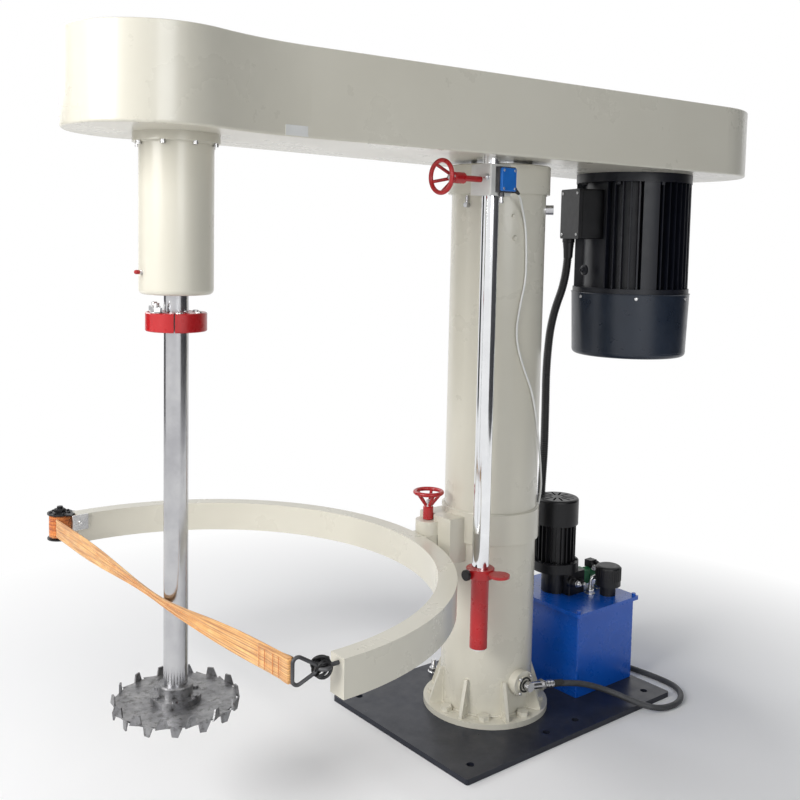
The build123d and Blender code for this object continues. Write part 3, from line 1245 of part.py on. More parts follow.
def strap_hook():
    """An eye bolt in the arm's end with the three-cornered ring that holds the strap."""
    slack = EYE_MAJOR_R - EYE_WIRE_D / 2 - RING_WIRE_D / 2 - SEAT_GAP
    eye_x = HOOK_APEX_X + slack
    eye = Pos(eye_x, HOOK_Y, HOOK_Z) * Torus(EYE_MAJOR_R, EYE_WIRE_D / 2)
    stud = rod(EYE_WIRE_D, 0, ARM_TAIL_X - eye_x - EYE_MAJOR_R - SEAT_GAP)
    bolt = eye + along_x(stud, eye_x + EYE_MAJOR_R, HOOK_Y, HOOK_Z)
    bar_x, bar_y, bar_z = STRAP_POINTS[-1]
    bar_y -= RING_WIRE_D / 2 + SEAT_GAP
    half = STRAP_W / 2 + RING_WIRE_D
    corners = [(bar_x, bar_y, bar_z - half), (bar_x, bar_y, bar_z + half), (HOOK_APEX_X, HOOK_Y, HOOK_Z)]
    wire = FilletPolyline(*corners, radius=RING_BEND_R, close=True)
    start = Plane(origin=wire @ 0, z_dir=wire % 0)
    link = sweep(start * Circle(RING_WIRE_D / 2), path=wire)
    return [bolt, link]


# Cords
def rounded_route(points, share=0.45):
    """Straight runs joined by arcs, each as wide as its shorter run allows."""
    radii = []
    for a, b, c in zip(points, points[1:], points[2:]):
        run_in = Vector(*b) - Vector(*a)
        run_out = Vector(*c) - Vector(*b)
        half = math.radians(run_in.get_angle(run_out)) / 2
        radii.append(share * min(run_in.length, run_out.length) / math.tan(half))
    return FilletPolyline(*points, radius=radii), radii


def cord(name, points, section):
    """Sweeps a section along a route and prints its length, radii and volume for a check."""
    route, radii = rounded_route(points)
    start = Plane(origin=route @ 0, z_dir=route % 0)
    body = sweep(start * section, path=route)
    want = section.area * route.length
    print(name, "length", round(route.length, 1), "tightest bend", round(min(radii), 1))
    print(name, "volume", round(body.volume), "section times length", round(want))
    return body


def lift_hose():
    return cord("lift_hose", HOSE_POINTS, Circle(HOSE_D / 2))


def switch_cable():
    return cord("switch_cable", SWITCH_CABLE_POINTS, Circle(SWITCH_CABLE_D / 2))


def motor_conduit():
    return cord("motor_conduit", CONDUIT_POINTS, Circle(CONDUIT_D / 2))


def strap():
    """Two layers of webbing, on edge, from the roll past the shaft to the ring."""
    route, radii = rounded_route(STRAP_POINTS)
    start = Plane(origin=route @ 0, x_dir=(0, 0, 1), z_dir=route % 0)
    body = sweep(start * Rectangle(STRAP_W, STRAP_T), path=route)
    print("strap length", round(route.length, 1), "tightest bend", round(min(radii), 1))
    print("strap volume", round(body.volume), "want", round(STRAP_W * STRAP_T * route.length))
    return body


PIECES = (
    base_plate,
    column_tube,
    column_foot,
    foot_bolts,
    column_collar,
    guide_bushes,
    oil_port,
    port_elbow,
    lift_hose,
    column_fittings,
    guide_block,
    switch_body,
    switch_cover,
    switch_cable,
    switch_plunger,
    arm_collar,
    arm_pivot_pin,
    oil_tank,
    tank_lid,
    pump_manifold,
    pump_motor_body,
    pump_motor_cowl,
    pump_rotor,
    solenoid_valve,
    filler_breather,
    gear_pump,
    motor_conduit,
    beam_shell,
    beam_lid,
    ram,
    ram_piston,
    guide_rod,
    rod_sleeve,
    striker_collar,
    striker_knob,
    spindle_housing,
    spindle_bearings,
    housing_bolts,
    drive_belts,
    motor_frame,
    motor_cowl,
    terminal_box,
    spindle_shaft,
    spindle_pulley,
    stirrer_shaft,
    shaft_coupling,
    coupling_bolts,
    dispersing_disc,
    disc_hub,
    motor_rotor,
    motor_pulley,
    rod_lock_wheel,
    rod_lock_pad,
    arm_lock_wheel,
    arm_lock_pad,
    tank_arm,
    strap_post,
    strap_roll,
    strap,
    strap_hook,
)

os.makedirs("parts", exist_ok=True)
for piece in PIECES:
    save(piece.__name__, piece())
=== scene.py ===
import math

import bmesh
import bpy
from mathutils import Matrix, Vector


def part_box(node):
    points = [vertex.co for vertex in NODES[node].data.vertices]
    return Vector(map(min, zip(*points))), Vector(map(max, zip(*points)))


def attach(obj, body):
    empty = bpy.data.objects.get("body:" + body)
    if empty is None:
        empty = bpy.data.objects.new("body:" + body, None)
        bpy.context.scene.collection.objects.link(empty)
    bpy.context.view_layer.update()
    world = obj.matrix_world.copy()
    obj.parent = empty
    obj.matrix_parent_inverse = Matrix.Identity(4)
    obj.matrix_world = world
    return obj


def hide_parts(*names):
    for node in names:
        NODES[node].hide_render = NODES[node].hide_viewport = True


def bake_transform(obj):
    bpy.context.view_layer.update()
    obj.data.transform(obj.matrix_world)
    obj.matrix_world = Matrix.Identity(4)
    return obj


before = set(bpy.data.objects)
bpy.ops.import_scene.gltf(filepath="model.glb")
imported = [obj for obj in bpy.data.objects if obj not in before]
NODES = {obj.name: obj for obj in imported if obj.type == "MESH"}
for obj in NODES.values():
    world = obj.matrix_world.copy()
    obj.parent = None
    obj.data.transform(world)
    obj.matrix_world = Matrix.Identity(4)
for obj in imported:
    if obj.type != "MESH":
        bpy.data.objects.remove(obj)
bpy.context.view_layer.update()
scene = bpy.context.scene
UP, DOWN, FRONT, LEFT = (Vector(d) for d in ((0, 0, 1), (0, 0, -1), (0, -1, 0), (-1, 0, 0)))

# Camera of the photograph: its place in metres, its heading, downward pitch and roll, then the focal
# length and the picture's centre in pixels of the 800-pixel frame.
CAM_AT = Vector((-2.05957, -2.08483, 1.39870))
YAW, PITCH, ROLL = math.radians(38.74), math.radians(4.71), math.radians(-1.13)
FOCAL_PX, CENTRE_PX, FRAME_PX = 992.64, (392.83, 323.88), 800.0
SENSOR_MM = 36.0

forward = Vector((math.sin(YAW) * math.cos(PITCH), math.cos(YAW) * math.cos(PITCH), -math.sin(PITCH)))
level = Vector((math.cos(YAW), -math.sin(YAW), 0.0))
down = forward.cross(level)
right = level * math.cos(ROLL) + down * math.sin(ROLL)
lower = down * math.cos(ROLL) - level * math.sin(ROLL)
lens = bpy.data.cameras.new("photo_camera")
lens.sensor_width = SENSOR_MM
lens.lens = FOCAL_PX * SENSOR_MM / FRAME_PX
lens.shift_x = (FRAME_PX / 2 - CENTRE_PX[0]) / FRAME_PX
lens.shift_y = (CENTRE_PX[1] - FRAME_PX / 2) / FRAME_PX
lens.clip_start, lens.clip_end = 0.05, 60.0
camera = bpy.data.objects.new("photo_camera", lens)
scene.collection.objects.link(camera)
turn = Matrix((right, -lower, -forward)).transposed()
camera.matrix_world = Matrix.Translation(CAM_AT) @ turn.to_4x4()
scene.camera = camera
scene.view_settings.view_transform = "Standard"

# Cords: route corners in metres. The strap has more of them here than in the source, on the same run.
HOSE_POINTS = [(0.060, -0.1817, 0.1167), (0.180, -0.192, 0.098), (0.300, -0.216, 0.050),
               (0.345, -0.312, 0.026), (0.400, -0.352, 0.0098), (0.490, -0.358, 0.0098),
               (0.566, -0.300, 0.0098), (0.576, -0.200, 0.0098), (0.548, 0.0, 0.0098),
               (0.548, 0.0, 0.226)]
CABLE_POINTS = [(-0.120, -0.1765, 1.548), (-0.088, -0.168, 1.535), (-0.052, -0.142, 1.512),
                (-0.030, -0.140, 1.450), (-0.026, -0.142, 1.375), (-0.024, -0.141, 1.300),
                (-0.042, -0.137, 1.222), (-0.052, -0.134, 1.140), (-0.028, -0.141, 1.060),
                (0.012, -0.143, 0.985), (0.040, -0.138, 0.902), (0.064, -0.129, 0.820),
                (0.094, -0.112, 0.742), (0.124, -0.089, 0.665), (0.146, -0.053, 0.590),
                (0.152, -0.014, 0.515), (0.158, 0.026, 0.445), (0.205, 0.078, 0.412),
                (0.284, 0.112, 0.424)]
CONDUIT_POINTS = [(0.433, 0.109, 1.401), (0.433, 0.109, 1.300), (0.404, 0.146, 1.160),
                  (0.388, 0.148, 1.010), (0.384, 0.142, 0.860), (0.376, 0.134, 0.710),
                  (0.352, 0.120, 0.590), (0.352, 0.120, 0.482)]
STRAP_POINTS = [(-1.017, 0.798, 0.527), (-1.045, 0.330, 0.545), (-1.064, 0.060, 0.557),
                (-1.066, -0.060, 0.558), (-1.052, -0.220, 0.558), (-1.026, -0.500, 0.557)]


def nurbs(name, points, radius, resolution=24):
    data = bpy.data.curves.new(name, "CURVE")
    data.dimensions = "3D"
    data.resolution_u = resolution
    data.bevel_depth = radius
    data.bevel_resolution = 6
    data.use_fill_caps = radius > 0
    spline = data.splines.new("NURBS")
    spline.points.add(len(points) - 1)
    for p, at in zip(spline.points, points):
        p.co = (*at, 1.0)
    spline.order_u = 3
    spline.use_endpoint_u = True
    made = bpy.data.objects.new(name, data)
    scene.collection.objects.link(made)
    return made


def line_of(points, resolution=24):
    """The points of a route's own NURBS spline."""
    guide = nurbs("guide", points, 0.0, resolution)
    bpy.context.view_layer.update()
    mesh = bpy.data.meshes.new_from_object(guide.evaluated_get(bpy.context.evaluated_depsgraph_get()))
    line = [v.co.copy() for v in mesh.vertices]
    data = guide.data
    bpy.data.objects.remove(guide)
    bpy.data.curves.remove(data)
    bpy.data.meshes.remove(mesh)
    return line


def length_of(line):
    return sum((b - a).length for a, b in zip(line, line[1:]))


def evenly(line, count):
    """The same line as equally spaced points."""
    total, steps, out = length_of(line), [0.0], [line[0].copy()]
    for a, b in zip(line, line[1:]):
        steps.append(steps[-1] + (b - a).length)
    k = 1
    for i in range(1, count):
        want = total * i / (count - 1)
        while k < len(steps) - 1 and steps[k] < want:
            k += 1
        span = max(steps[k] - steps[k - 1], 1e-9)
        out.append(line[k - 1].lerp(line[k], (want - steps[k - 1]) / span))
    return out


def frames_along(line):
    """Each point with two sides across the line that turn no more than they must."""
    out, side = [], None
    for i, p in enumerate(line):
        ahead = (line[min(i + 1, len(line) - 1)] - line[max(i - 1, 0)]).normalized()
        if side is None:
            side = UP.cross(ahead)
            if side.length < 1e-3:
                side = Vector((1, 0, 0))
        side = (side - ahead * side.dot(ahead)).normalized()
        out.append((p, side, ahead.cross(side)))
    return out


def mesh_object(name, verts, faces, smooth=True):
    data = bpy.data.meshes.new(name)
    data.from_pydata([tuple(v) for v in verts], [], faces)
    data.validate()
    if smooth:
        data.polygons.foreach_set("use_smooth", [True] * len(data.polygons))
    data.update()
    made = bpy.data.objects.new(name, data)
    scene.collection.objects.link(made)
    return made


def tube_faces(rings, sides, closed=False):
    """Quads between rings of points; both ends are capped unless the last ring meets the first."""
    made = []
    for i in range(rings if closed else rings - 1):
        j = (i + 1) % rings
        for k in range(sides):
            n = (k + 1) % sides
            made.append((i * sides + k, i * sides + n, j * sides + n, j * sides + k))
    if not closed:
        made.append(tuple(reversed(range(sides))))
        made.append(tuple((rings - 1) * sides + k for k in range(sides)))
    return made


def tube_along(name, line, radius_at, sides=20):
    """A closed tube whose radius is given at each distance along the line."""
    verts, run = [], 0.0
    for i, (p, u, v) in enumerate(frames_along(line)):
        if i:
            run += (line[i] - line[i - 1]).length
        r = radius_at(run)
        for k in range(sides):
            a = 2 * math.pi * k / sides
            verts.append(p + (u * math.cos(a) + v * math.sin(a)) * r)
    return mesh_object(name, verts, tube_faces(len(line), sides))


def put(piece, body, material):
    """Gives a piece its material and slot, and its body when one is given."""
    piece.data.materials.clear()
    piece.data.materials.append(material)
    if body:
        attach(piece, body)
    return piece


# Materials
def blank(name):
    made = bpy.data.materials.new(name)
    made.use_nodes = True
    nodes = made.node_tree.nodes
    return made, nodes, made.node_tree.links, nodes["Principled BSDF"]


def noise_of(nodes, links, coords, scale, detail=4.0, rough=0.55, stretch=None):
    if stretch is not None:
        mapping = nodes.new("ShaderNodeMapping")
        mapping.inputs["Scale"].default_value = stretch
        links.new(coords, mapping.inputs["Vector"])
        coords = mapping.outputs["Vector"]
    noise = nodes.new("ShaderNodeTexNoise")
    noise.inputs["Scale"].default_value = scale
    noise.inputs["Detail"].default_value = detail
    noise.inputs["Roughness"].default_value = rough
    links.new(coords, noise.inputs["Vector"])
    return noise.outputs["Fac"]


def ramp_of(nodes, links, fac, stops):
    ramp = nodes.new("ShaderNodeValToRGB")
    while len(ramp.color_ramp.elements) < len(stops):
        ramp.color_ramp.elements.new(0.5)
    for element, (at, colour) in zip(ramp.color_ramp.elements, stops):
        element.position = at
        element.color = (*colour, 1.0)
    links.new(fac, ramp.inputs["Fac"])
    return ramp.outputs["Color"]


def range_of(nodes, links, fac, low, high, from_low=0.25, from_high=0.75):
    node = nodes.new("ShaderNodeMapRange")
    node.inputs["From Min"].default_value = from_low
    node.inputs["From Max"].default_value = from_high
    node.inputs["To Min"].default_value = low
    node.inputs["To Max"].default_value = high
    links.new(fac, node.inputs["Value"])
    return node.outputs["Result"]


def bump_of(nodes, links, height, strength, distance):
    bump = nodes.new("ShaderNodeBump")
    bump.inputs["Strength"].default_value = strength
    bump.inputs["Distance"].default_value = distance
    links.new(height, bump.inputs["Height"])
    return bump.outputs["Normal"]


def object_coords(nodes):
    return nodes.new("ShaderNodeTexCoord").outputs["Object"]


def mix_of(nodes, links, factor, colour, over):
    """A linked colour with a plain one laid over it where the factor is high."""
    mix = nodes.new("ShaderNodeMix")
    mix.data_type = "RGBA"
    mix.inputs["B"].default_value = (*over, 1.0)
    links.new(factor, mix.inputs["Factor"])
    links.new(colour, mix.inputs["A"])
    return mix.outputs["Result"]


def math_of(nodes, links, operation, first, second):
    node = nodes.new("ShaderNodeMath")
    node.operation = operation
    links.new(first, node.inputs[0])
    links.new(second, node.inputs[1])
    return node.outputs["Value"]


def painted(name, dark, light, rough=(0.28, 0.42), coat=0.25, scale=3.0, grain=420.0,
            grain_depth=0.0002, grain_strength=0.12, dust=None, spots=None, specular=0.5):
    """Paint or plastic: slow colour drift, fine grain, a few darker marks, all procedural."""
    made, nodes, links, shader = blank(name)
    coords = object_coords(nodes)
    slow = noise_of(nodes, links, coords, scale, 5.0)
    colour = ramp_of(nodes, links, slow, [(0.30, dark), (0.70, light)])
    if spots is not None:
        marks = ramp_of(nodes, links, noise_of(nodes, links, coords, scale * 22, 3.0, 0.7),
                        [(0.66, (0, 0, 0)), (0.74, (1, 1, 1))])
        colour = mix_of(nodes, links, marks, colour, spots)
    if dust is not None:
        surface = nodes.new("ShaderNodeNewGeometry")
        split = nodes.new("ShaderNodeSeparateXYZ")
        links.new(surface.outputs["Normal"], split.inputs["Vector"])
        up = range_of(nodes, links, split.outputs["Z"], 0.0, 1.0, 0.6, 1.0)
        cloud = noise_of(nodes, links, coords, 26.0, 6.0, 0.65)
        patches = range_of(nodes, links, cloud, 0.0, 0.55, 0.42, 0.75)
        colour = mix_of(nodes, links, math_of(nodes, links, "MULTIPLY", up, patches), colour, dust)
    links.new(colour, shader.inputs["Base Color"])
    smear = noise_of(nodes, links, coords, scale * 4.5, 6.0, 0.6)
    links.new(range_of(nodes, links, smear, rough[0], rough[1]), shader.inputs["Roughness"])
    fine = noise_of(nodes, links, coords, grain, 2.0)
    links.new(bump_of(nodes, links, fine, grain_strength, grain_depth), shader.inputs["Normal"])
    shader.inputs["Coat Weight"].default_value = coat
    shader.inputs["Coat Roughness"].default_value = 0.12
    shader.inputs["Specular IOR Level"].default_value = specular
    return made


def machined(name, dark, light, rough=(0.18, 0.34), stretch=(1, 1, 1), grain=900.0, strength=0.15,
             scale=14.0, metal=1.0, stains=None):
    """Bare or plated metal with turning or drawing lines along the short axis of the stretch."""
    made, nodes, links, shader = blank(name)
    coords = object_coords(nodes)
    slow = noise_of(nodes, links, coords, scale, 5.0, 0.6)
    colour = ramp_of(nodes, links, slow, [(0.30, dark), (0.70, light)])
    if stains is not None:
        cloud = ramp_of(nodes, links, noise_of(nodes, links, coords, scale * 2.7, 7.0, 0.7),
                        [(0.50, (0, 0, 0)), (0.68, (1, 1, 1))])
        colour = mix_of(nodes, links, cloud, colour, stains)
    links.new(colour, shader.inputs["Base Color"])
    lines = noise_of(nodes, links, coords, grain, 3.0, 0.6, stretch)
    links.new(range_of(nodes, links, lines, rough[0], rough[1]), shader.inputs["Roughness"])
    links.new(bump_of(nodes, links, lines, strength, 0.0002), shader.inputs["Normal"])
    shader.inputs["Metallic"].default_value = metal
    return made


MAT = {
    "ivory": painted("ivory_enamel", (0.610, 0.582, 0.492), (0.655, 0.630, 0.545), rough=(0.24, 0.34),
                     coat=0.20, scale=1.3, grain=260.0, grain_strength=0.06),
    "navy": painted("navy_plate", (0.009, 0.011, 0.019), (0.018, 0.021, 0.033), rough=(0.26, 0.48),
                    coat=0.0, scale=5.0, grain=300.0, grain_depth=0.0004, grain_strength=0.18,
                    dust=(0.035, 0.037, 0.048), spots=(0.030, 0.033, 0.044), specular=0.35),
    "red": painted("red_enamel", (0.37, 0.005, 0.008), (0.46, 0.009, 0.012), rough=(0.22, 0.38),
                   coat=0.15, scale=8.0, grain=380.0),
    "motor": painted("motor_black", (0.0025, 0.0032, 0.0070), (0.0060, 0.0075, 0.0140),
                     rough=(0.30, 0.46), coat=0.0, scale=6.0, grain=260.0, grain_depth=0.0005,
                     grain_strength=0.25, dust=(0.020, 0.021, 0.026), specular=0.40),
    "cowl": painted("cowl_slate", (0.006, 0.012, 0.024), (0.011, 0.019, 0.036), rough=(0.24, 0.38),
                    coat=0.0, scale=5.0, grain=320.0, grain_depth=0.0003),
    "blue": painted("tank_blue", (0.0010, 0.078, 0.440), (0.0020, 0.100, 0.540), rough=(0.22, 0.36),
                    coat=0.15, scale=4.0, grain=300.0, grain_depth=0.0003, spots=(0.002, 0.066, 0.38)),
    "black": painted("black_enamel", (0.003, 0.003, 0.004), (0.008, 0.008, 0.010), rough=(0.28, 0.44),
                     coat=0.0, scale=8.0, grain=360.0, specular=0.35),
    "plastic": painted("black_moulding", (0.004, 0.004, 0.005), (0.010, 0.010, 0.012),
                       rough=(0.34, 0.50), coat=0.0, scale=12.0, grain=700.0, grain_depth=0.0003,
                       grain_strength=0.30, specular=0.4),
    "switch": painted("blue_moulding", (0.003, 0.110, 0.420), (0.006, 0.150, 0.560),
                      rough=(0.30, 0.44), coat=0.15, scale=14.0, grain=800.0, grain_strength=0.2),
    "coil": painted("green_moulding", (0.006, 0.130, 0.045), (0.012, 0.200, 0.070), rough=(0.36, 0.52),
                    coat=0.05, scale=16.0, grain=800.0, grain_strength=0.25),
    "white": painted("white_jacket", (0.66, 0.66, 0.64), (0.76, 0.76, 0.74), rough=(0.36, 0.50),
                     coat=0.05, scale=20.0, grain=900.0, grain_strength=0.2),
    "hose": painted("hose_rubber", (0.030, 0.031, 0.034), (0.060, 0.062, 0.066), rough=(0.48, 0.64),
                    coat=0.0, scale=22.0, grain=800.0, grain_depth=0.0004, grain_strength=0.35),
    "conduit": painted("conduit_black", (0.003, 0.003, 0.0035), (0.009, 0.009, 0.010),
                       rough=(0.36, 0.52), coat=0.0, scale=16.0, grain=700.0, grain_depth=0.0003,
                       grain_strength=0.25),
    "rubber": painted("belt_rubber", (0.014, 0.014, 0.014), (0.030, 0.030, 0.028), rough=(0.60, 0.80),
                      coat=0.0, scale=20.0, grain=900.0, grain_depth=0.0004, grain_strength=0.4),
    "chrome": machined("hard_chrome", (0.72, 0.73, 0.75), (0.86, 0.87, 0.88), rough=(0.06, 0.14),
                       stretch=(1, 1, 0.04), grain=700.0, strength=0.05, scale=6.0),
    "steel": machined("ground_steel", (0.44, 0.44, 0.46), (0.60, 0.60, 0.61), rough=(0.14, 0.26),
                      stretch=(1, 1, 0.05), grain=700.0, strength=0.06, scale=9.0),
    "disc": machined("worn_disc", (0.17, 0.17, 0.18), (0.34, 0.34, 0.345), rough=(0.26, 0.50),
                     grain=320.0, strength=0.35, scale=26.0, metal=0.85, stains=(0.085, 0.083, 0.082)),
    "zinc": machined("zinc_plate", (0.52, 0.52, 0.53), (0.70, 0.70, 0.70), rough=(0.22, 0.38),
                     grain=500.0, strength=0.12, scale=40.0),
    "cast": machined("cast_iron", (0.055, 0.055, 0.060), (0.12, 0.12, 0.125), rough=(0.42, 0.62),
                     grain=420.0, strength=0.5, scale=30.0, metal=0.75),
    "block": painted("block_grey", (0.58, 0.58, 0.56), (0.70, 0.70, 0.67), rough=(0.34, 0.52),
                     coat=0.0, scale=18.0, grain=240.0, grain_depth=0.0006, grain_strength=0.35,
                     spots=(0.46, 0.46, 0.44)),
    "bronze": machined("bronze", (0.50, 0.30, 0.12), (0.62, 0.40, 0.18), rough=(0.20, 0.36),
                       grain=500.0, strength=0.12, scale=30.0),
}


def webbing(name, dark, light, core):
    """Woven strap: cross threads from its own width and run coordinates, with soiled, frayed lines."""
    made, nodes, links, shader = blank(name)
    uv = nodes.new("ShaderNodeUVMap")
    uv.uv_map = "weave"
    coords = uv.outputs["UV"]
    cloud = noise_of(nodes, links, object_coords(nodes), 30.0, 5.0, 0.65)
    base = ramp_of(nodes, links, cloud, [(0.30, dark), (0.68, light)])
    stripes = noise_of(nodes, links, coords, 1.0, 2.0, 0.5, (0.35, 16.0, 1.0))
    dirt = ramp_of(nodes, links, stripes, [(0.40, (1, 1, 1)), (0.66, (0, 0, 0))])
    mix = nodes.new("ShaderNodeMix")
    mix.data_type = "RGBA"
    mix.inputs["A"].default_value = (*core, 1.0)
    links.new(dirt, mix.inputs["Factor"])
    links.new(base, mix.inputs["B"])
    links.new(mix.outputs["Result"], shader.inputs["Base Color"])
    weave = nodes.new("ShaderNodeTexWave")
    weave.wave_type, weave.bands_direction = "BANDS", "X"
    weave.inputs["Scale"].default_value = 55.0
    weave.inputs["Distortion"].default_value = 1.2
    links.new(coords, weave.inputs["Vector"])
    cross = nodes.new("ShaderNodeTexWave")
    cross.wave_type, cross.bands_direction = "BANDS", "Y"
    cross.inputs["Scale"].default_value = 8.0
    links.new(coords, cross.inputs["Vector"])
    knit = math_of(nodes, links, "MULTIPLY", weave.outputs["Fac"], cross.outputs["Fac"])
    links.new(bump_of(nodes, links, knit, 0.55, 0.0008), shader.inputs["Normal"])
    links.new(range_of(nodes, links, cloud, 0.62, 0.82), shader.inputs["Roughness"])
    shader.inputs["Sheen Weight"].default_value = 0.25
    return made


MAT["web"] = webbing("strap_weave", (0.80, 0.38, 0.11), (0.94, 0.60, 0.25), (0.46, 0.19, 0.07))
MAT["web_end"] = webbing("strap_roll_weave", (0.62, 0.14, 0.02), (0.88, 0.34, 0.08),
                         (0.30, 0.06, 0.015))

NODE_FINISH = {
    "navy": ("base_plate",),
    "ivory": ("column_tube", "foot_bolts", "column_foot", "column_collar", "oil_port", "arm_collar",
              "beam_shell", "beam_lid", "spindle_housing", "tank_arm"),
    "zinc": ("arm_pivot_pin", "housing_bolts", "coupling_bolts"),
    "block": ("guide_block",),
    "steel": ("stirrer_shaft", "spindle_shaft", "ram_piston", "spindle_bearings", "rod_lock_pad",
              "arm_lock_pad", "port_elbow", "column_fittings", "switch_plunger"),
    "chrome": ("guide_rod", "ram"),
    "disc": ("dispersing_disc", "disc_hub"),
    "red": ("rod_sleeve", "striker_collar", "shaft_coupling", "rod_lock_wheel", "arm_lock_wheel"),
    "plastic": ("striker_knob", "filler_breather", "terminal_box", "strap_post"),
    "cast": ("gear_pump", "spindle_pulley", "motor_pulley", "pump_rotor", "motor_rotor", "strap_hook",
             "switch_body"),
    "motor": ("motor_frame",),
    "cowl": ("motor_cowl",),
    "blue": ("oil_tank", "tank_lid"),
    "black": ("pump_motor_body", "pump_motor_cowl", "pump_manifold"),
    "coil": ("solenoid_valve",),
    "switch": ("switch_cover",),
    "bronze": ("guide_bushes",),
    "rubber": ("drive_belts",),
    "white": ("switch_cable",),
    "hose": ("lift_hose",),
    "conduit": ("motor_conduit",),
    "web": ("strap",),
    "web_end": ("strap_roll",),
}
for finish, names in NODE_FINISH.items():
    for name in names:
        mesh = NODES[name].data
        mesh.materials.clear()
        mesh.materials.append(MAT[finish])

# The four cords, each in place of its plain solid
HOSE_D, CABLE_D, CONDUIT_D, STRAP_W = 0.018, 0.006, 0.028, 0.056

hose = nurbs("lift_hose_line", HOSE_POINTS, HOSE_D / 2)
put(hose, "root", MAT["hose"])
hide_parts("lift_hose")

cable = nurbs("switch_cable_line", CABLE_POINTS, CABLE_D / 2)
put(cable, "root", MAT["white"])
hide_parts("switch_cable")

# Corrugated conduit: a ring every RING_PITCH between smooth ends.
conduit_line = evenly(line_of(CONDUIT_POINTS, 48), 780)
conduit_length = length_of(conduit_line)
RING_PITCH, RING_DEPTH, SMOOTH_END = 0.0062, 0.0022, 0.012


def conduit_radius(run):
    edge = min(run, conduit_length - run)
    if edge < SMOOTH_END:
        return CONDUIT_D / 2
    wave = 0.5 + 0.5 * math.cos(2 * math.pi * run / RING_PITCH)
    return CONDUIT_D / 2 - RING_DEPTH * (1 - wave) ** 1.5


conduit = tube_along("motor_conduit_tube", conduit_line, conduit_radius, 24)
put(conduit, None, MAT["conduit"])
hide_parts("motor_conduit")
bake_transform(conduit)


def slab_faces(rows, cols, flip=False):
    """Faces of two sheets of rows by cols points, the second after the first, joined round the rim."""
    sheet, made = rows * cols, []
    for i in range(rows - 1):
        for k in range(cols - 1):
            a = i * cols + k
            b = a + sheet
            made.append((a, a + 1, a + cols + 1, a + cols))
            made.append((b, b + cols, b + cols + 1, b + 1))
    for i in range(rows - 1):
        for k in (0, cols - 1):
            a = i * cols + k
            quad = (a, a + cols, a + cols + sheet, a + sheet)
            made.append(quad if k == 0 else quad[::-1])
    for i in (0, rows - 1):
        for k in range(cols - 1):
            a = i * cols + k
            quad = (a, a + sheet, a + sheet + 1, a + 1)
            made.append(quad if i == 0 else quad[::-1])
    return [(f[0], f[3], f[2], f[1]) for f in made] if flip else made


def woven(name, verts, faces, coords, material):
    """A piece of webbing on the arm, with the coordinates that its weave follows."""
    made = mesh_object(name, verts, faces)
    layer = made.data.uv_layers.new(name="weave")
    for loop in made.data.loops:
        layer.data[loop.index].uv = coords[loop.vertex_index]
    return put(made, "arm", material)


# Strap: flat at the roll and at the hook, gathered into folds where it passes the shaft.
strap_line = evenly(line_of(STRAP_POINTS, 60), 321)
strap_length = length_of(strap_line)
WAIST_AT = 0.575
ACROSS = 28


def smooth(x):
    x = min(max(x, 0.0), 1.0)
    return x * x * (3 - 2 * x)


def strap_shape(t):
    """(width, thickness, fold depth, turn) at a share t of the strap's length."""
    near = smooth((t - 0.02) / (WAIST_AT - 0.02)) if t < WAIST_AT else smooth((1 - t) / (1 - WAIST_AT))
    width = STRAP_W * (1 - 0.74 * near ** 1.4)
    return width, 0.0042 + 0.0034 * near, 0.0012 + 0.0030 * near, math.radians(-38) * near


verts, weave_uv, rows = [], [], []
run = 0.0
for i, p in enumerate(strap_line):
    if i:
        run += (p - strap_line[i - 1]).length
    t = run / strap_length
    ahead = (strap_line[min(i + 1, len(strap_line) - 1)] - strap_line[max(i - 1, 0)]).normalized()
    upward = (UP - ahead * ahead.z).normalized()
    out = ahead.cross(upward)
    width, thick, fold, turn = strap_shape(t)
    wide = upward * math.cos(turn) + out * math.sin(turn)
    face = ahead.cross(wide)
    rows.append((p, wide, face, width, thick, fold, run))
for face_side in (1, -1):
    for p, wide, face, width, thick, fold, run in rows:
        for k in range(ACROSS + 1):
            s = k / ACROSS * 2 - 1
            ripple = fold * (0.55 * math.cos(s * 7.4 + run * 3.0)
                             + 0.30 * math.cos(s * 15.0 - run * 5.0))
            ripple -= 0.25 * fold
            edge = math.sqrt(max(0.0, 1 - abs(s) ** 6))
            depth = ripple + face_side * (thick / 2) * (0.25 + 0.75 * edge)
            verts.append(p + wide * (s * width / 2) + face * depth)
            weave_uv.append((run * 18.0, s * 0.5 + 0.5))
faces = slab_faces(len(rows), ACROSS + 1)
strap = woven("strap_webbing_belt", verts, faces, weave_uv, MAT["web"])
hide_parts("strap")


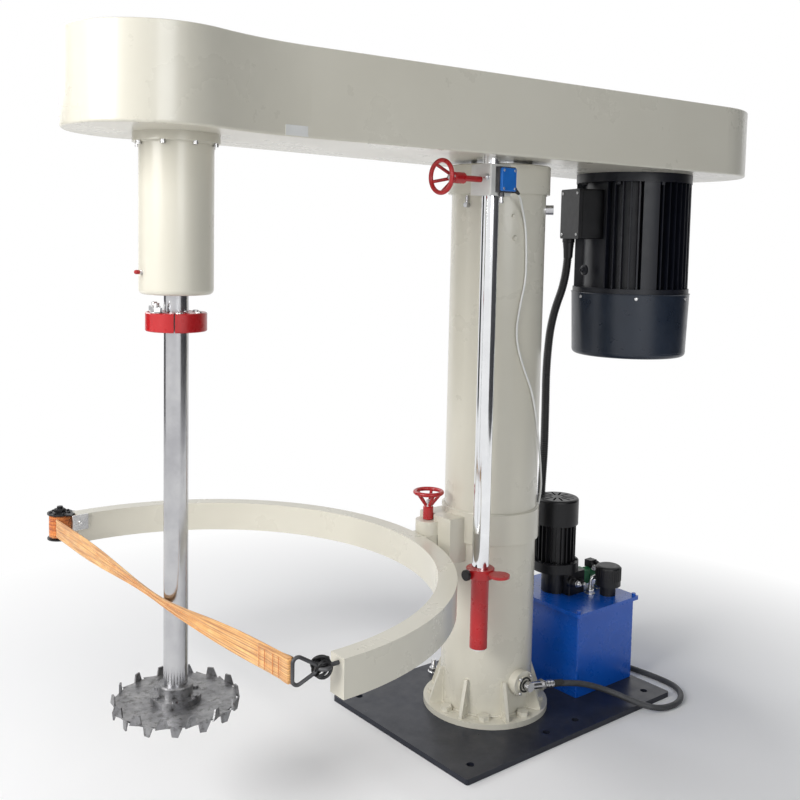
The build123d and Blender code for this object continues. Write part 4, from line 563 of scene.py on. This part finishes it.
# Small parts
class Kit:
    """Collects turned, bent and folded shapes into one mesh."""

    def __init__(self):
        self.verts, self.faces = [], []

    def add(self, verts, faces):
        base = len(self.verts)
        self.verts += [Vector(v) for v in verts]
        self.faces += [tuple(base + i for i in f) for f in faces]

    def lathe(self, at, axis, profile, sides=28, turn=0.0):
        """Turns (radius, height) pairs about an axis; both ends are closed."""
        axis, at = Vector(axis).normalized(), Vector(at)
        u = axis.cross(UP if abs(axis.z) < 0.9 else Vector((1, 0, 0))).normalized()
        v = axis.cross(u)
        verts = []
        for r, h in profile:
            for k in range(sides):
                a = 2 * math.pi * k / sides + turn
                verts.append(at + axis * h + (u * math.cos(a) + v * math.sin(a)) * max(r, 1e-5))
        self.add(verts, tube_faces(len(profile), sides))

    def hex_bolt(self, at, axis, across, height, shank=0.0, turn=0.0):
        """A chamfered hexagon with a washer under it, and a threaded end where a shank is given."""
        r = across / math.sqrt(3)
        wash = height * 0.16
        self.lathe(at, axis, [(r * 1.22, 0), (r * 1.22, wash * 0.7), (r * 1.12, wash)], 28)
        self.lathe(at, axis, [(r, wash), (r, height * 0.82), (r * 0.86, height)], 6, turn)
        if shank > height:
            rs = across * 0.30
            thread, h, pitch = [(rs, height)], height, 0.0009
            while h < shank - 0.0008:
                thread += [(rs * 0.90, h + 0.0004), (rs, h + pitch)]
                h += pitch
            self.lathe(at, axis, thread + [(rs * 0.7, shank)], 16)

    def screw(self, at, axis, r, height):
        """A domed screw head with a socket."""
        self.lathe(at, axis, [(r, 0), (r, height * 0.5), (r * 0.92, height * 0.8), (r * 0.62, height),
                              (r * 0.46, height), (r * 0.42, height * 0.45), (0, height * 0.4)], 20)

    def box(self, at, size, turn=0.0):
        """A six-faced body about its middle, turned about Z."""
        hx, hy, hz = (s / 2 for s in size)
        spin = Matrix.Rotation(turn, 3, "Z")
        corners = [spin @ Vector((x, y, z)) + Vector(at)
                   for x in (-hx, hx) for y in (-hy, hy) for z in (-hz, hz)]
        self.add(corners,
                 [(0, 1, 3, 2), (4, 6, 7, 5), (0, 4, 5, 1), (2, 3, 7, 6), (0, 2, 6, 4), (1, 5, 7, 3)])

    def wire(self, points, radius, sides=12, closed=False, wobble=0.0):
        """A rod or a bead along points."""
        line = [Vector(p) for p in points]
        n = len(line)
        verts, side = [], None
        for i, p in enumerate(line):
            if closed:
                ahead = (line[(i + 1) % n] - line[i - 1]).normalized()
            else:
                ahead = (line[min(i + 1, n - 1)] - line[max(i - 1, 0)]).normalized()
            if side is None:
                side = ahead.orthogonal().normalized()
            side = (side - ahead * side.dot(ahead)).normalized()
            other = ahead.cross(side)
            r = radius * (1 + wobble * math.sin(i * 1.9) + wobble * 0.6 * math.sin(i * 3.1 + 1))
            for k in range(sides):
                a = 2 * math.pi * k / sides
                verts.append(p + (side * math.cos(a) + other * math.sin(a)) * r)
        self.add(verts, tube_faces(n, sides, closed))

    def ring(self, at, axis, radius, wire, count=40, oval=1.0, wobble=0.0):
        axis = Vector(axis).normalized()
        u = axis.orthogonal().normalized()
        v = axis.cross(u)
        pts = [Vector(at) + u * math.cos(2 * math.pi * i / count) * radius * oval
               + v * math.sin(2 * math.pi * i / count) * radius for i in range(count)]
        self.wire(pts, wire, 10, True, wobble)

    def make(self, name, body, material, bevel=0.0006):
        made = mesh_object(name, self.verts, self.faces)
        fixed = bmesh.new()
        fixed.from_mesh(made.data)
        bmesh.ops.recalc_face_normals(fixed, faces=fixed.faces)
        fixed.to_mesh(made.data)
        fixed.free()
        made.data.set_sharp_from_angle(angle=math.radians(33))
        if bevel:
            soft = made.modifiers.new("edges", "BEVEL")
            soft.width, soft.segments = bevel, 2
            soft.limit_method, soft.angle_limit = "ANGLE", math.radians(40)
        return put(made, body, material)


def seen_at(px, py, node):
    """Where the photograph's pixel meets a CAD node: the point and the face's normal."""
    ray = forward + right * ((px - CENTRE_PX[0]) / FOCAL_PX) + lower * ((py - CENTRE_PX[1]) / FOCAL_PX)
    hit, at, normal, _ = NODES[node].ray_cast(CAM_AT, ray.normalized(), distance=20)
    if not hit:
        raise RuntimeError(f"pixel {px},{py} misses {node}")
    return at, normal


def out_from(cx, cy, at):
    d = Vector((at[0] - cx, at[1] - cy, 0))
    return d.normalized()


def spots(count, radius, start=0.0):
    """The angle and the offset of each of so many places evenly round a circle."""
    for i in range(count):
        a = start + 2 * math.pi * i / count
        yield a, radius * math.cos(a), radius * math.sin(a)


# Places of the CAD that the small parts sit on, in metres
SPINDLE_X, MOTOR_X = -1.025, 0.621
ROD_WHEEL_X, ROD_Y, LOCK_Z = -0.300, -0.130, 1.571
PIVOT_X, PIVOT_Y = -0.200, 0.052
POST_X, POST_Y = -0.996, 0.828
PORT_Z = 0.126
TANK_PORT_X = 0.548
PUMP_X, PUMP_Y = 0.330, 0.030
BREATHER_X, BREATHER_Y = 0.440, -0.100
TANK_X, TANK_Y = 0.3675, -0.002
NIPPLE_Y, NIPPLE_Z = -0.002, 1.321

# Switch and guide block
INSET = 0.007
lo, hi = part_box("switch_cover")
kit = Kit()
for x in (lo.x + INSET, hi.x - INSET):
    for z in (lo.z + INSET, hi.z - INSET):
        kit.screw((x, lo.y + 0.0012, z), FRONT, 0.0036, 0.0026)
kit.make("switch_screws", "root", MAT["zinc"], 0)
kit = Kit()
flow = (Vector(CABLE_POINTS[1]) - Vector(CABLE_POINTS[0])).normalized()
kit.lathe(Vector(CABLE_POINTS[0]) - flow * 0.001, flow,
          [(0.0075, 0), (0.0080, 0.002), (0.0080, 0.008), (0.0062, 0.010), (0.0056, 0.018),
           (0.0040, 0.032)], 18)
kit.make("switch_gland", "root", MAT["plastic"], 0)
kit = Kit()
at, normal = seen_at(487.5, 177, "guide_block")
kit.hex_bolt(at, normal, 0.015, 0.008, 0.012, 0.4)
lo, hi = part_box("guide_block")
for z in (lo.z + 0.012, hi.z - 0.012):
    kit.screw((hi.x - 0.014, lo.y, z), FRONT, 0.0042, 0.004)
kit.make("guide_block_screws", "root", MAT["zinc"], 0.0003)

# Lock wheels: hub nuts
kit = Kit()
kit.hex_bolt((ROD_WHEEL_X, ROD_Y, LOCK_Z), LEFT, 0.017, 0.009, 0.016)
kit.make("rod_wheel_nut", "rod_wheel", MAT["zinc"], 0.0003)
kit = Kit()
HUB_BELOW_RIM = 0.046
kit.hex_bolt((PIVOT_X, PIVOT_Y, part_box("arm_lock_wheel")[1].z - HUB_BELOW_RIM), UP, 0.018, 0.010, 0.018)
kit.make("arm_wheel_nut", "arm_wheel", MAT["zinc"], 0.0003)

# Oil port: flange screws, seat ring and the crimped ends of the hose
port_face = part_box("oil_port")[0].y
kit = Kit()
for a, x, z in spots(4, 0.030, math.pi / 4):
    kit.screw((x, port_face, PORT_Z + z), FRONT, 0.0052, 0.005)
kit.make("port_screws", "root", MAT["zinc"], 0)
kit = Kit()
kit.ring((0, port_face - 0.0004, PORT_Z), (0, 1, 0), 0.0200, 0.0030, 40)
kit.make("port_seal", "root", MAT["rubber"], 0)


def ferrule(kit, at, axis, r):
    """The crimped sleeve on a hose's end, with two grooves."""
    profile = [(0.86, 0), (1, 0.001), (1, 0.008), (0.95, 0.009), (0.95, 0.011), (1, 0.012), (1, 0.020),
               (0.95, 0.021), (0.95, 0.023), (1, 0.024), (1, 0.032), (0.93, 0.034), (0.86, 0.036)]
    kit.lathe(at, axis, [(r * share, h) for share, h in profile], 28)


FERRULE_R = 0.0118
kit = Kit()
flow = (Vector(HOSE_POINTS[1]) - Vector(HOSE_POINTS[0])).normalized()
ferrule(kit, Vector(HOSE_POINTS[0]) + flow * 0.001, flow, FERRULE_R)
kit.hex_bolt(Vector(HOSE_POINTS[0]) - flow * 0.010, flow, 0.024, 0.010)
ferrule(kit, (TANK_PORT_X, 0, 0.2255), DOWN, FERRULE_R)
kit.make("hose_ferrules", "root", MAT["zinc"], 0)
kit = Kit()
SLEEVE = [(0.0108, 0), (0.0105, 0.012), (0.0093, 0.040)]
kit.lathe(Vector(HOSE_POINTS[0]) + flow * 0.036, flow, SLEEVE, 24)
kit.lathe((TANK_PORT_X, 0, 0.190), DOWN, SLEEVE, 24)
kit.make("hose_sleeves", "root", MAT["rubber"], 0)

# Welds of the column: foot, top collar, both edges of the arm's collar, and the gussets
kit = Kit()
for z, r, bead, wobble in ((0.0330, 0.1385, 0.0032, 0.10), (1.5405, 0.1370, 0.0022, 0.08),
                           (0.6270, 0.1380, 0.0026, 0.10), (0.5390, 0.1380, 0.0026, 0.10)):
    kit.ring((0, 0, z), UP, r, bead, 180, 1.0, wobble)
GUSSET_HALF, GUSSET_BEAD = 0.006, 0.0021
for a, _, _ in spots(8, 1.0, math.radians(22.5)):
    radial, side = Vector((math.cos(a), math.sin(a), 0)), Vector((-math.sin(a), math.cos(a), 0))
    for s in (1, -1):
        off = side * s * GUSSET_HALF
        rise = [radial * 0.1372 + off + Vector((0, 0, 0.036 + 0.004 * k)) for k in range(24)]
        foot = [radial * (0.139 + 0.0038 * k) + off + Vector((0, 0, 0.0328)) for k in range(10)]
        kit.wire(rise, GUSSET_BEAD, 8, False, 0.14)
        kit.wire(foot, GUSSET_BEAD, 8, False, 0.14)
kit.make("column_welds", "root", MAT["ivory"], 0)

# Two small bosses on the column
kit = Kit()
for px, py, r in ((513.5, 216, 0.0050), (514.8, 238, 0.0062)):
    at, normal = seen_at(px, py, "column_tube")
    kit.lathe(at - normal * 0.001, normal,
              [(r * 1.3, 0), (r * 1.25, 0.003), (r, 0.0045), (r, 0.0075), (r * 0.8, 0.009)], 20)
kit.make("column_bosses", "root", MAT["ivory"], 0)

# Spindle housing: grease nipple with its cap, and the weld at its top flange
kit = Kit()
kit.lathe((-1.1094, NIPPLE_Y, NIPPLE_Z), LEFT,
          [(0.0050, 0), (0.0050, 0.003), (0.0032, 0.004), (0.0032, 0.007)], 16)
kit.make("grease_nipple", "head", MAT["zinc"], 0)
kit = Kit()
kit.lathe((-1.1160, NIPPLE_Y, NIPPLE_Z), LEFT,
          [(0.0044, 0), (0.0050, 0.002), (0.0050, 0.008), (0.0040, 0.011), (0.002, 0.012)], 18)
kit.make("grease_cap", "head", MAT["red"], 0)
kit = Kit()
kit.ring((SPINDLE_X, 0, 1.6118), UP, 0.0862, 0.0024, 140, 1.0, 0.10)
kit.make("housing_weld", "head", MAT["ivory"], 0)

# Blank tag low on the beam's side: up from its lower edge until the side is met, not the underside
TAG_PX, TAG_LOW_PY, TAG_HIGH_PY = 297, 142, 135
for tag_py in range(TAG_LOW_PY, TAG_HIGH_PY - 1, -1):
    at, normal = seen_at(TAG_PX, tag_py, "beam_shell")
    if abs(normal.z) < 0.2:
        break
at.z += 0.010
along = UP.cross(normal).normalized()
kit = Kit()
kit.box(at + normal * 0.0005, (0.062, 0.0022, 0.024), math.atan2(along.y, along.x))
kit.make("blank_tag", "head", MAT["white"], 0.0004)

# Motor: lifting boss, flange bolts, cowl screws and the cowl's lips
kit = Kit()
boss_at, _ = seen_at(592, 270, "motor_frame")
boss_out = out_from(MOTOR_X, 0, boss_at)
boss_at = Vector((MOTOR_X, 0, boss_at.z)) + boss_out * 0.1835
kit.lathe(boss_at, boss_out, [(0.017, 0), (0.017, 0.006), (0.012, 0.009), (0.009, 0.012)], 24)
kit.screw(boss_at + boss_out * 0.0115, boss_out, 0.0080, 0.006)
for a, x, y in spots(8, 0.1775, math.radians(22.5)):
    kit.hex_bolt((MOTOR_X + x, y, 1.603), DOWN, 0.016, 0.010)
kit.make("motor_fasteners", "head", MAT["motor"], 0.0003)
kit = Kit()
for a, x, y in spots(6, 0.1905, math.radians(-136)):
    kit.screw((MOTOR_X + x, y, 1.2345), (math.cos(a), math.sin(a), 0), 0.0052, 0.0030)
kit.make("cowl_screws", "head", MAT["zinc"], 0)
kit = Kit()
kit.ring((MOTOR_X, 0, 1.2472), UP, 0.1915, 0.0016, 160)
kit.ring((MOTOR_X, 0, 1.0600), UP, 0.1838, 0.0012, 160)
kit.make("cowl_lips", "head", MAT["cowl"], 0)

# Terminal box screws and the conduit's two glands
kit = Kit()
BOX_TURN = math.radians(160)
box_out = Vector((math.cos(BOX_TURN), math.sin(BOX_TURN), 0))
box_side = Vector((-box_out.y, box_out.x, 0))
box_verts = NODES["terminal_box"].data.vertices
reach = max((Vector(v.co) - Vector((MOTOR_X, 0, 0))).dot(box_out) for v in box_verts)
lid_mid = Vector((MOTOR_X, 0, 1.5005)) + box_out * (reach - 0.0004)
for s in (-1, 1):
    for dz in (-0.066, 0.066):
        kit.screw(lid_mid + box_side * s * 0.047 + Vector((0, 0, dz)), box_out, 0.0045, 0.0032)
kit.make("terminal_screws", "head", MAT["zinc"], 0)
kit = Kit()
kit.lathe((*CONDUIT_POINTS[0][:2], 1.4210), DOWN,
          [(0.0200, 0), (0.0200, 0.012), (0.0172, 0.014), (0.0172, 0.026), (0.0160, 0.034),
           (0.0146, 0.062)], 28)
kit.make("conduit_top_gland", "head", MAT["plastic"], 0)
kit = Kit()
kit.lathe((*CONDUIT_POINTS[-1][:2], 0.4800), UP,
          [(0.0180, 0), (0.0180, 0.010), (0.0168, 0.012), (0.0168, 0.022), (0.0158, 0.030),
           (0.0146, 0.052)], 28)
kit.make("conduit_foot_gland", "root", MAT["plastic"], 0)

# Coupling bolts: two stand proud on the far left, the rest are sunk heads
kit = Kit()
BOLT_R, COUPLING_TOP, PROUD = 0.054, 1.229, (0, 1)
for i, (a, x, y) in enumerate(spots(6, BOLT_R, math.radians(130))):
    if i in PROUD:
        kit.hex_bolt((SPINDLE_X + x, y, COUPLING_TOP), UP, 0.0225, 0.0145, 0.0225, a)
    else:
        kit.screw((SPINDLE_X + x, y, COUPLING_TOP - 0.0008), UP, 0.0085, 0.0042)
coupling = kit.make("coupling_fasteners", "spindle", MAT["zinc"], 0.0004)
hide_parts("coupling_bolts")

# Stud with its nut at the back of the plate
kit = Kit()
kit.hex_bolt((0.010, 0.248, 0.016), UP, 0.027, 0.015, 0.040)
kit.make("plate_stud", "root", MAT["zinc"], 0.0004)

# Strap roll: turns of webbing round the post, the edges not quite in line
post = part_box("strap_roll")
centre = (post[0] + post[1]) / 2
turns, steps = 5, 40
verts, faces, uvs = [], [], []
layers = 6
for i in range(turns * steps + 1):
    a = 2 * math.pi * i / steps
    r = 0.0112 + 0.0186 * i / (turns * steps)
    shift = 0.0012 * math.sin(a * 0.31) + 0.0006 * math.sin(a * 1.7)
    half = 0.0345 - 0.0007 * (1 + math.sin(a * 0.43 + 1.0))
    sag = 0.0007 * math.sin(a * 2.3)
    for side in (0, 1):
        rr = r + side * 0.0031 + sag
        for k in range(layers + 1):
            s = k / layers * 2 - 1
            bulge = 0.0005 * (1 - s * s)
            verts.append((centre.x + (rr + bulge) * math.cos(a), centre.y + (rr + bulge) * math.sin(a),
                          centre.z + s * half + shift))
            uvs.append((i * 0.12, s * 0.5 + 0.5))
row = layers + 1
for i in range(turns * steps):
    a0, a1 = i * 2 * row, (i + 1) * 2 * row
    for k in range(layers):
        faces.append((a0 + row + k, a1 + row + k, a1 + row + k + 1, a0 + row + k + 1))
        faces.append((a0 + k, a0 + k + 1, a1 + k + 1, a1 + k))
    faces.append((a0, a1, a1 + row, a0 + row))
    faces.append((a0 + layers, a0 + row + layers, a1 + row + layers, a1 + layers))
last = turns * steps * 2 * row
for k in range(layers):
    faces.append((k, k + row, k + row + 1, k + 1))
    faces.append((last + k, last + k + 1, last + k + row + 1, last + k + row))
roll = woven("strap_turns", verts, faces, uvs, MAT["web_end"])
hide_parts("strap_roll")

# Post: a nut and a ring of screws above its upper cheek, and the plate that holds it to the arm
cheek_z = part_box("strap_post")[1].z
kit = Kit()
kit.hex_bolt((POST_X, POST_Y, cheek_z), UP, 0.030, 0.012, 0.019)
for a, x, y in spots(7, 0.027, 0.2):
    kit.screw((POST_X + x, POST_Y + y, cheek_z), UP, 0.0045, 0.004)
kit.make("post_nuts", "arm", MAT["black"], 0.0003)
at, normal = seen_at(80, 522, "tank_arm")
kit = Kit()
side = UP.cross(normal).normalized()
kit.box(at + normal * 0.0022, (0.050, 0.005, 0.046), math.atan2(side.y, side.x))
kit.screw(at + normal * 0.0045, normal, 0.007, 0.004)
kit.make("strap_keeper", "arm", MAT["zinc"], 0.001)

# Hook end: the strap's folded, sewn end and the dark links at the eye
end = strap_line[-1]
back = (strap_line[-40] - end).normalized()
upward = (UP - back * back.z).normalized()
outward = back.cross(upward)
verts, uvs = [], []
fold_rows, FOLD_COLS = 30, 13
for side in (0, 1):
    for i in range(fold_rows + 1):
        t = i / fold_rows
        lift = 0.0024 + 0.0042 * (1 - t) + 0.0006 * math.sin(t * 15)
        for k in range(FOLD_COLS):
            s = k / (FOLD_COLS - 1) * 2 - 1
            width = 0.0265 * (1 - 0.10 * t)
            verts.append(end + back * (0.002 + 0.105 * t) + upward * (s * width)
                         + outward * (-1 if side == 0 else 1) * (lift + 0.0006 * math.cos(s * 9)))
            uvs.append((t * 1.9, s * 0.5 + 0.5))
faces = slab_faces(fold_rows + 1, FOLD_COLS, flip=True)
woven("strap_sewn_end", verts, faces, uvs, MAT["web"])
kit = Kit()
for along_m in (0.030, 0.050, 0.078, 0.098):
    for s in (-1, 1):
        base = end + back * along_m + outward * s * (0.0062 + 0.0035 * (1 - along_m / 0.1))
        kit.wire([base + upward * (-0.021 + 0.0035 * k) + outward * s * (0.0005 if k % 2 else -0.0004)
                  for k in range(13)], 0.0007, 6)
kit.make("strap_stitches", "arm", MAT["web_end"], 0)

hook_eye = Vector((-0.9590, -0.5095, 0.553))
kit = Kit()
links = [((-0.004, 0.001, 0.007), (0.5, 0.8, 0.3), 0.0160, 0.0034),
         ((0.003, 0.001, -0.006), (0.3, 0.9, -0.4), 0.0165, 0.0034),
         ((0.004, 0.002, 0.003), (0.9, 0.4, 0.5), 0.0150, 0.0032),
         ((-0.003, 0.003, -0.003), (0.7, 0.3, -0.8), 0.0160, 0.0032),
         ((0.001, 0.003, 0.002), (0.2, 0.5, 0.9), 0.0155, 0.0032),
         ((0.000, 0.002, 0.000), (-0.4, 0.9, 0.5), 0.0180, 0.0030)]
for offset, axis, r, wire in links:
    kit.ring(hook_eye + Vector(offset), Vector(axis), r, wire, 36, 1.12)
kit.make("hook_links", "arm", MAT["black"], 0)

# Hydraulic pack: valve caps, unions with a short steel pipe, coil connector, tank seams, breather grip
lo_m, hi_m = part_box("pump_manifold")
lo_s, hi_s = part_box("solenoid_valve")
front_y, relief_x, return_x = lo_m.y, lo_m.x + 0.038, lo_m.x + 0.078
RELIEF_Z, RETURN_Z, LID_TOP = 0.332, 0.320, 0.2840
UNION_A, UNION_B = (0.400, -0.060), (0.462, -0.040)
kit = Kit()
kit.lathe((relief_x, front_y, RELIEF_Z), FRONT,
          [(0.017, 0), (0.017, 0.010), (0.013, 0.012), (0.013, 0.024), (0.009, 0.026), (0.009, 0.032)], 24)
kit.lathe((return_x, front_y, RETURN_Z), FRONT,
          [(0.014, 0), (0.014, 0.014), (0.010, 0.016), (0.010, 0.022)], 24)
kit.lathe((hi_m.x - 0.020, 0, hi_m.z - 0.0004), UP,
          [(0.012, 0), (0.012, 0.010), (0.009, 0.012), (0.009, 0.020)], 24)
for a, x, y in spots(8, 0.068):
    kit.screw((PUMP_X + x, PUMP_Y + y, 0.3880), UP, 0.0045, 0.004)
kit.make("valve_caps", "root", MAT["plastic"], 0)
kit = Kit()
kit.hex_bolt((relief_x, front_y - 0.030, RELIEF_Z), FRONT, 0.015, 0.009, 0.016)
kit.hex_bolt((return_x, front_y - 0.020, RETURN_Z), FRONT, 0.012, 0.008, 0.013)
kit.hex_bolt((hi_s.x - 0.020, 0.004, hi_s.z - 0.0005), UP, 0.016, 0.010, 0.016)
kit.hex_bolt((hi_s.x - 0.044, -0.016, hi_s.z - 0.004), (0, -0.5, 0.85), 0.013, 0.009, 0.014)
kit.hex_bolt((*UNION_A, LID_TOP), UP, 0.024, 0.014, 0.026)
kit.hex_bolt((*UNION_B, LID_TOP), UP, 0.022, 0.013, 0.022)
pipe = line_of([(*UNION_A, 0.300), (*UNION_A, 0.330), (0.412, -0.066, 0.338), (0.440, -0.055, 0.336),
                (*UNION_B, 0.330), (*UNION_B, 0.298)], 16)
kit.wire(pipe, 0.0050, 14)
kit.make("pack_unions", "root", MAT["zinc"], 0.0003)
kit = Kit()
mid_x = (lo_s.x + hi_s.x) / 2 + 0.018
kit.box((mid_x, 0.0, hi_s.z + 0.010), (0.030, 0.028, 0.024), 0.0)
kit.lathe((mid_x + 0.010, -0.013, hi_s.z + 0.012), FRONT,
          [(0.008, 0), (0.008, 0.007), (0.006, 0.009), (0.0045, 0.018)], 18)
kit.make("coil_plug", "root", MAT["plastic"], 0.0015)
kit = Kit()
for x, y in ((0.235, -0.157), (0.235, 0.153), (0.500, -0.157), (0.500, 0.153)):
    inward = Vector((TANK_X - x, TANK_Y - y, 0)).normalized() * 0.0035
    kit.wire([Vector((x, y, 0.018 + 0.006 * k)) + inward for k in range(42)], 0.0026, 8, False, 0.10)
kit.make("tank_seams", "root", MAT["blue"], 0)
grip_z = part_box("filler_breather")[1].z - 0.026
kit = Kit()
for a, x, y in spots(30, 0.0396):
    kit.box((BREATHER_X + x, BREATHER_Y + y, grip_z), (0.0032, 0.0030, 0.040), a)
kit.make("breather_grip", "root", MAT["plastic"], 0.0005)


# Floor and light
def floor_material():
    made, nodes, links, shader = blank("studio_floor")
    coords = object_coords(nodes)
    pale = ramp_of(nodes, links, noise_of(nodes, links, coords, 1.2, 3.0),
                   [(0.3, (0.93, 0.93, 0.94)), (0.7, (0.95, 0.95, 0.96))])
    links.new(pale, shader.inputs["Base Color"])
    shader.inputs["Roughness"].default_value = 0.80
    shader.inputs["Specular IOR Level"].default_value = 0.2
    # Seen directly, mirrored or through glass, the floor turns white away from the machine.
    away = nodes.new("ShaderNodeVectorMath")
    away.operation = "LENGTH"
    centred = nodes.new("ShaderNodeMapping")
    centred.inputs["Location"].default_value = (0.25, 0.0, 0.0)
    links.new(coords, centred.inputs["Vector"])
    links.new(centred.outputs["Vector"], away.inputs[0])
    far = range_of(nodes, links, away.outputs["Value"], 0.0, 1.0, 1.0, 2.1)
    rays = nodes.new("ShaderNodeLightPath")
    seen = rays.outputs["Is Camera Ray"]
    for other in ("Is Glossy Ray", "Is Transmission Ray"):
        seen = math_of(nodes, links, "MAXIMUM", seen, rays.outputs[other])
    both = math_of(nodes, links, "MULTIPLY", far, seen)
    white = nodes.new("ShaderNodeEmission")
    white.inputs["Color"].default_value = (1, 1, 1, 1)
    white.inputs["Strength"].default_value = 1.0
    mixed = nodes.new("ShaderNodeMixShader")
    links.new(both, mixed.inputs["Fac"])
    links.new(shader.outputs["BSDF"], mixed.inputs[1])
    links.new(white.outputs["Emission"], mixed.inputs[2])
    links.new(mixed.outputs["Shader"], nodes["Material Output"].inputs["Surface"])
    return made


floor = mesh_object("floor", [(-9, -7, 0), (12, -7, 0), (12, 14, 0), (-9, 14, 0)], [(0, 1, 2, 3)],
                    smooth=False)
floor.location.z = -0.0004
floor.data.materials.append(floor_material())


def dark_card(name, corners):
    """A dark screen that only reflections see, for the shaded side of round metal."""
    made = mesh_object(name, corners, [(0, 1, 2, 3)], smooth=False)
    cloth, nodes, links, shader = blank(name + "_cloth")
    shade = ramp_of(nodes, links, noise_of(nodes, links, object_coords(nodes), 2.0),
                    [(0.3, (0.02, 0.02, 0.025)), (0.7, (0.04, 0.04, 0.045))])
    links.new(shade, shader.inputs["Base Color"])
    made.data.materials.append(cloth)
    made.visible_camera = made.visible_diffuse = made.visible_shadow = made.visible_transmission = False


dark_card("card_right", [(0.3, -5.6, 0.0), (5.6, -0.6, 0.0), (5.6, -0.6, 4.6), (0.3, -5.6, 4.6)])
dark_card("card_back", [(-1.6, 5.6, 0.0), (-4.2, 3.6, 0.0), (-4.2, 3.6, 3.6), (-1.6, 5.6, 3.6)])

world = bpy.data.worlds.new("studio")
world.use_nodes = True
scene.world = world
sky, wires = world.node_tree.nodes, world.node_tree.links
sky.clear()
out = sky.new("ShaderNodeOutputWorld")
plain, white = sky.new("ShaderNodeBackground"), sky.new("ShaderNodeBackground")
mixer = sky.new("ShaderNodeMixShader")
plain.inputs["Color"].default_value = (0.92, 0.95, 1.0, 1.0)
plain.inputs["Strength"].default_value = 0.27
white.inputs["Color"].default_value = (1, 1, 1, 1)
white.inputs["Strength"].default_value = 1.0
rays = sky.new("ShaderNodeLightPath")
seen = math_of(sky, wires, "MAXIMUM", rays.outputs["Is Camera Ray"], rays.outputs["Is Transmission Ray"])
seen = math_of(sky, wires, "MAXIMUM", seen, rays.outputs["Is Glossy Ray"])
wires.new(seen, mixer.inputs["Fac"])
wires.new(plain.outputs["Background"], mixer.inputs[1])
wires.new(white.outputs["Background"], mixer.inputs[2])
wires.new(mixer.outputs["Shader"], out.inputs["Surface"])


def soft_light(name, at, aim, size, power, colour=(1, 1, 1)):
    data = bpy.data.lights.new(name, "AREA")
    data.shape, data.size, data.energy, data.color = "SQUARE", size, power, colour
    lamp = bpy.data.objects.new(name, data)
    scene.collection.objects.link(lamp)
    lamp.location = at
    lamp.rotation_mode = "QUATERNION"
    lamp.rotation_quaternion = (Vector(aim) - Vector(at)).to_track_quat("-Z", "Y")


soft_light("key", (-5.0, -0.2, 3.0), (-0.3, 0.0, 0.9), 2.4, 215, (1.0, 0.99, 0.97))
soft_light("fill", (-2.2, -5.6, 2.6), (0.0, 0.0, 0.9), 2.2, 75, (0.97, 0.99, 1.0))
soft_light("back", (-1.5, 4.4, 3.4), (-0.4, 0.0, 1.0), 2.4, 70)
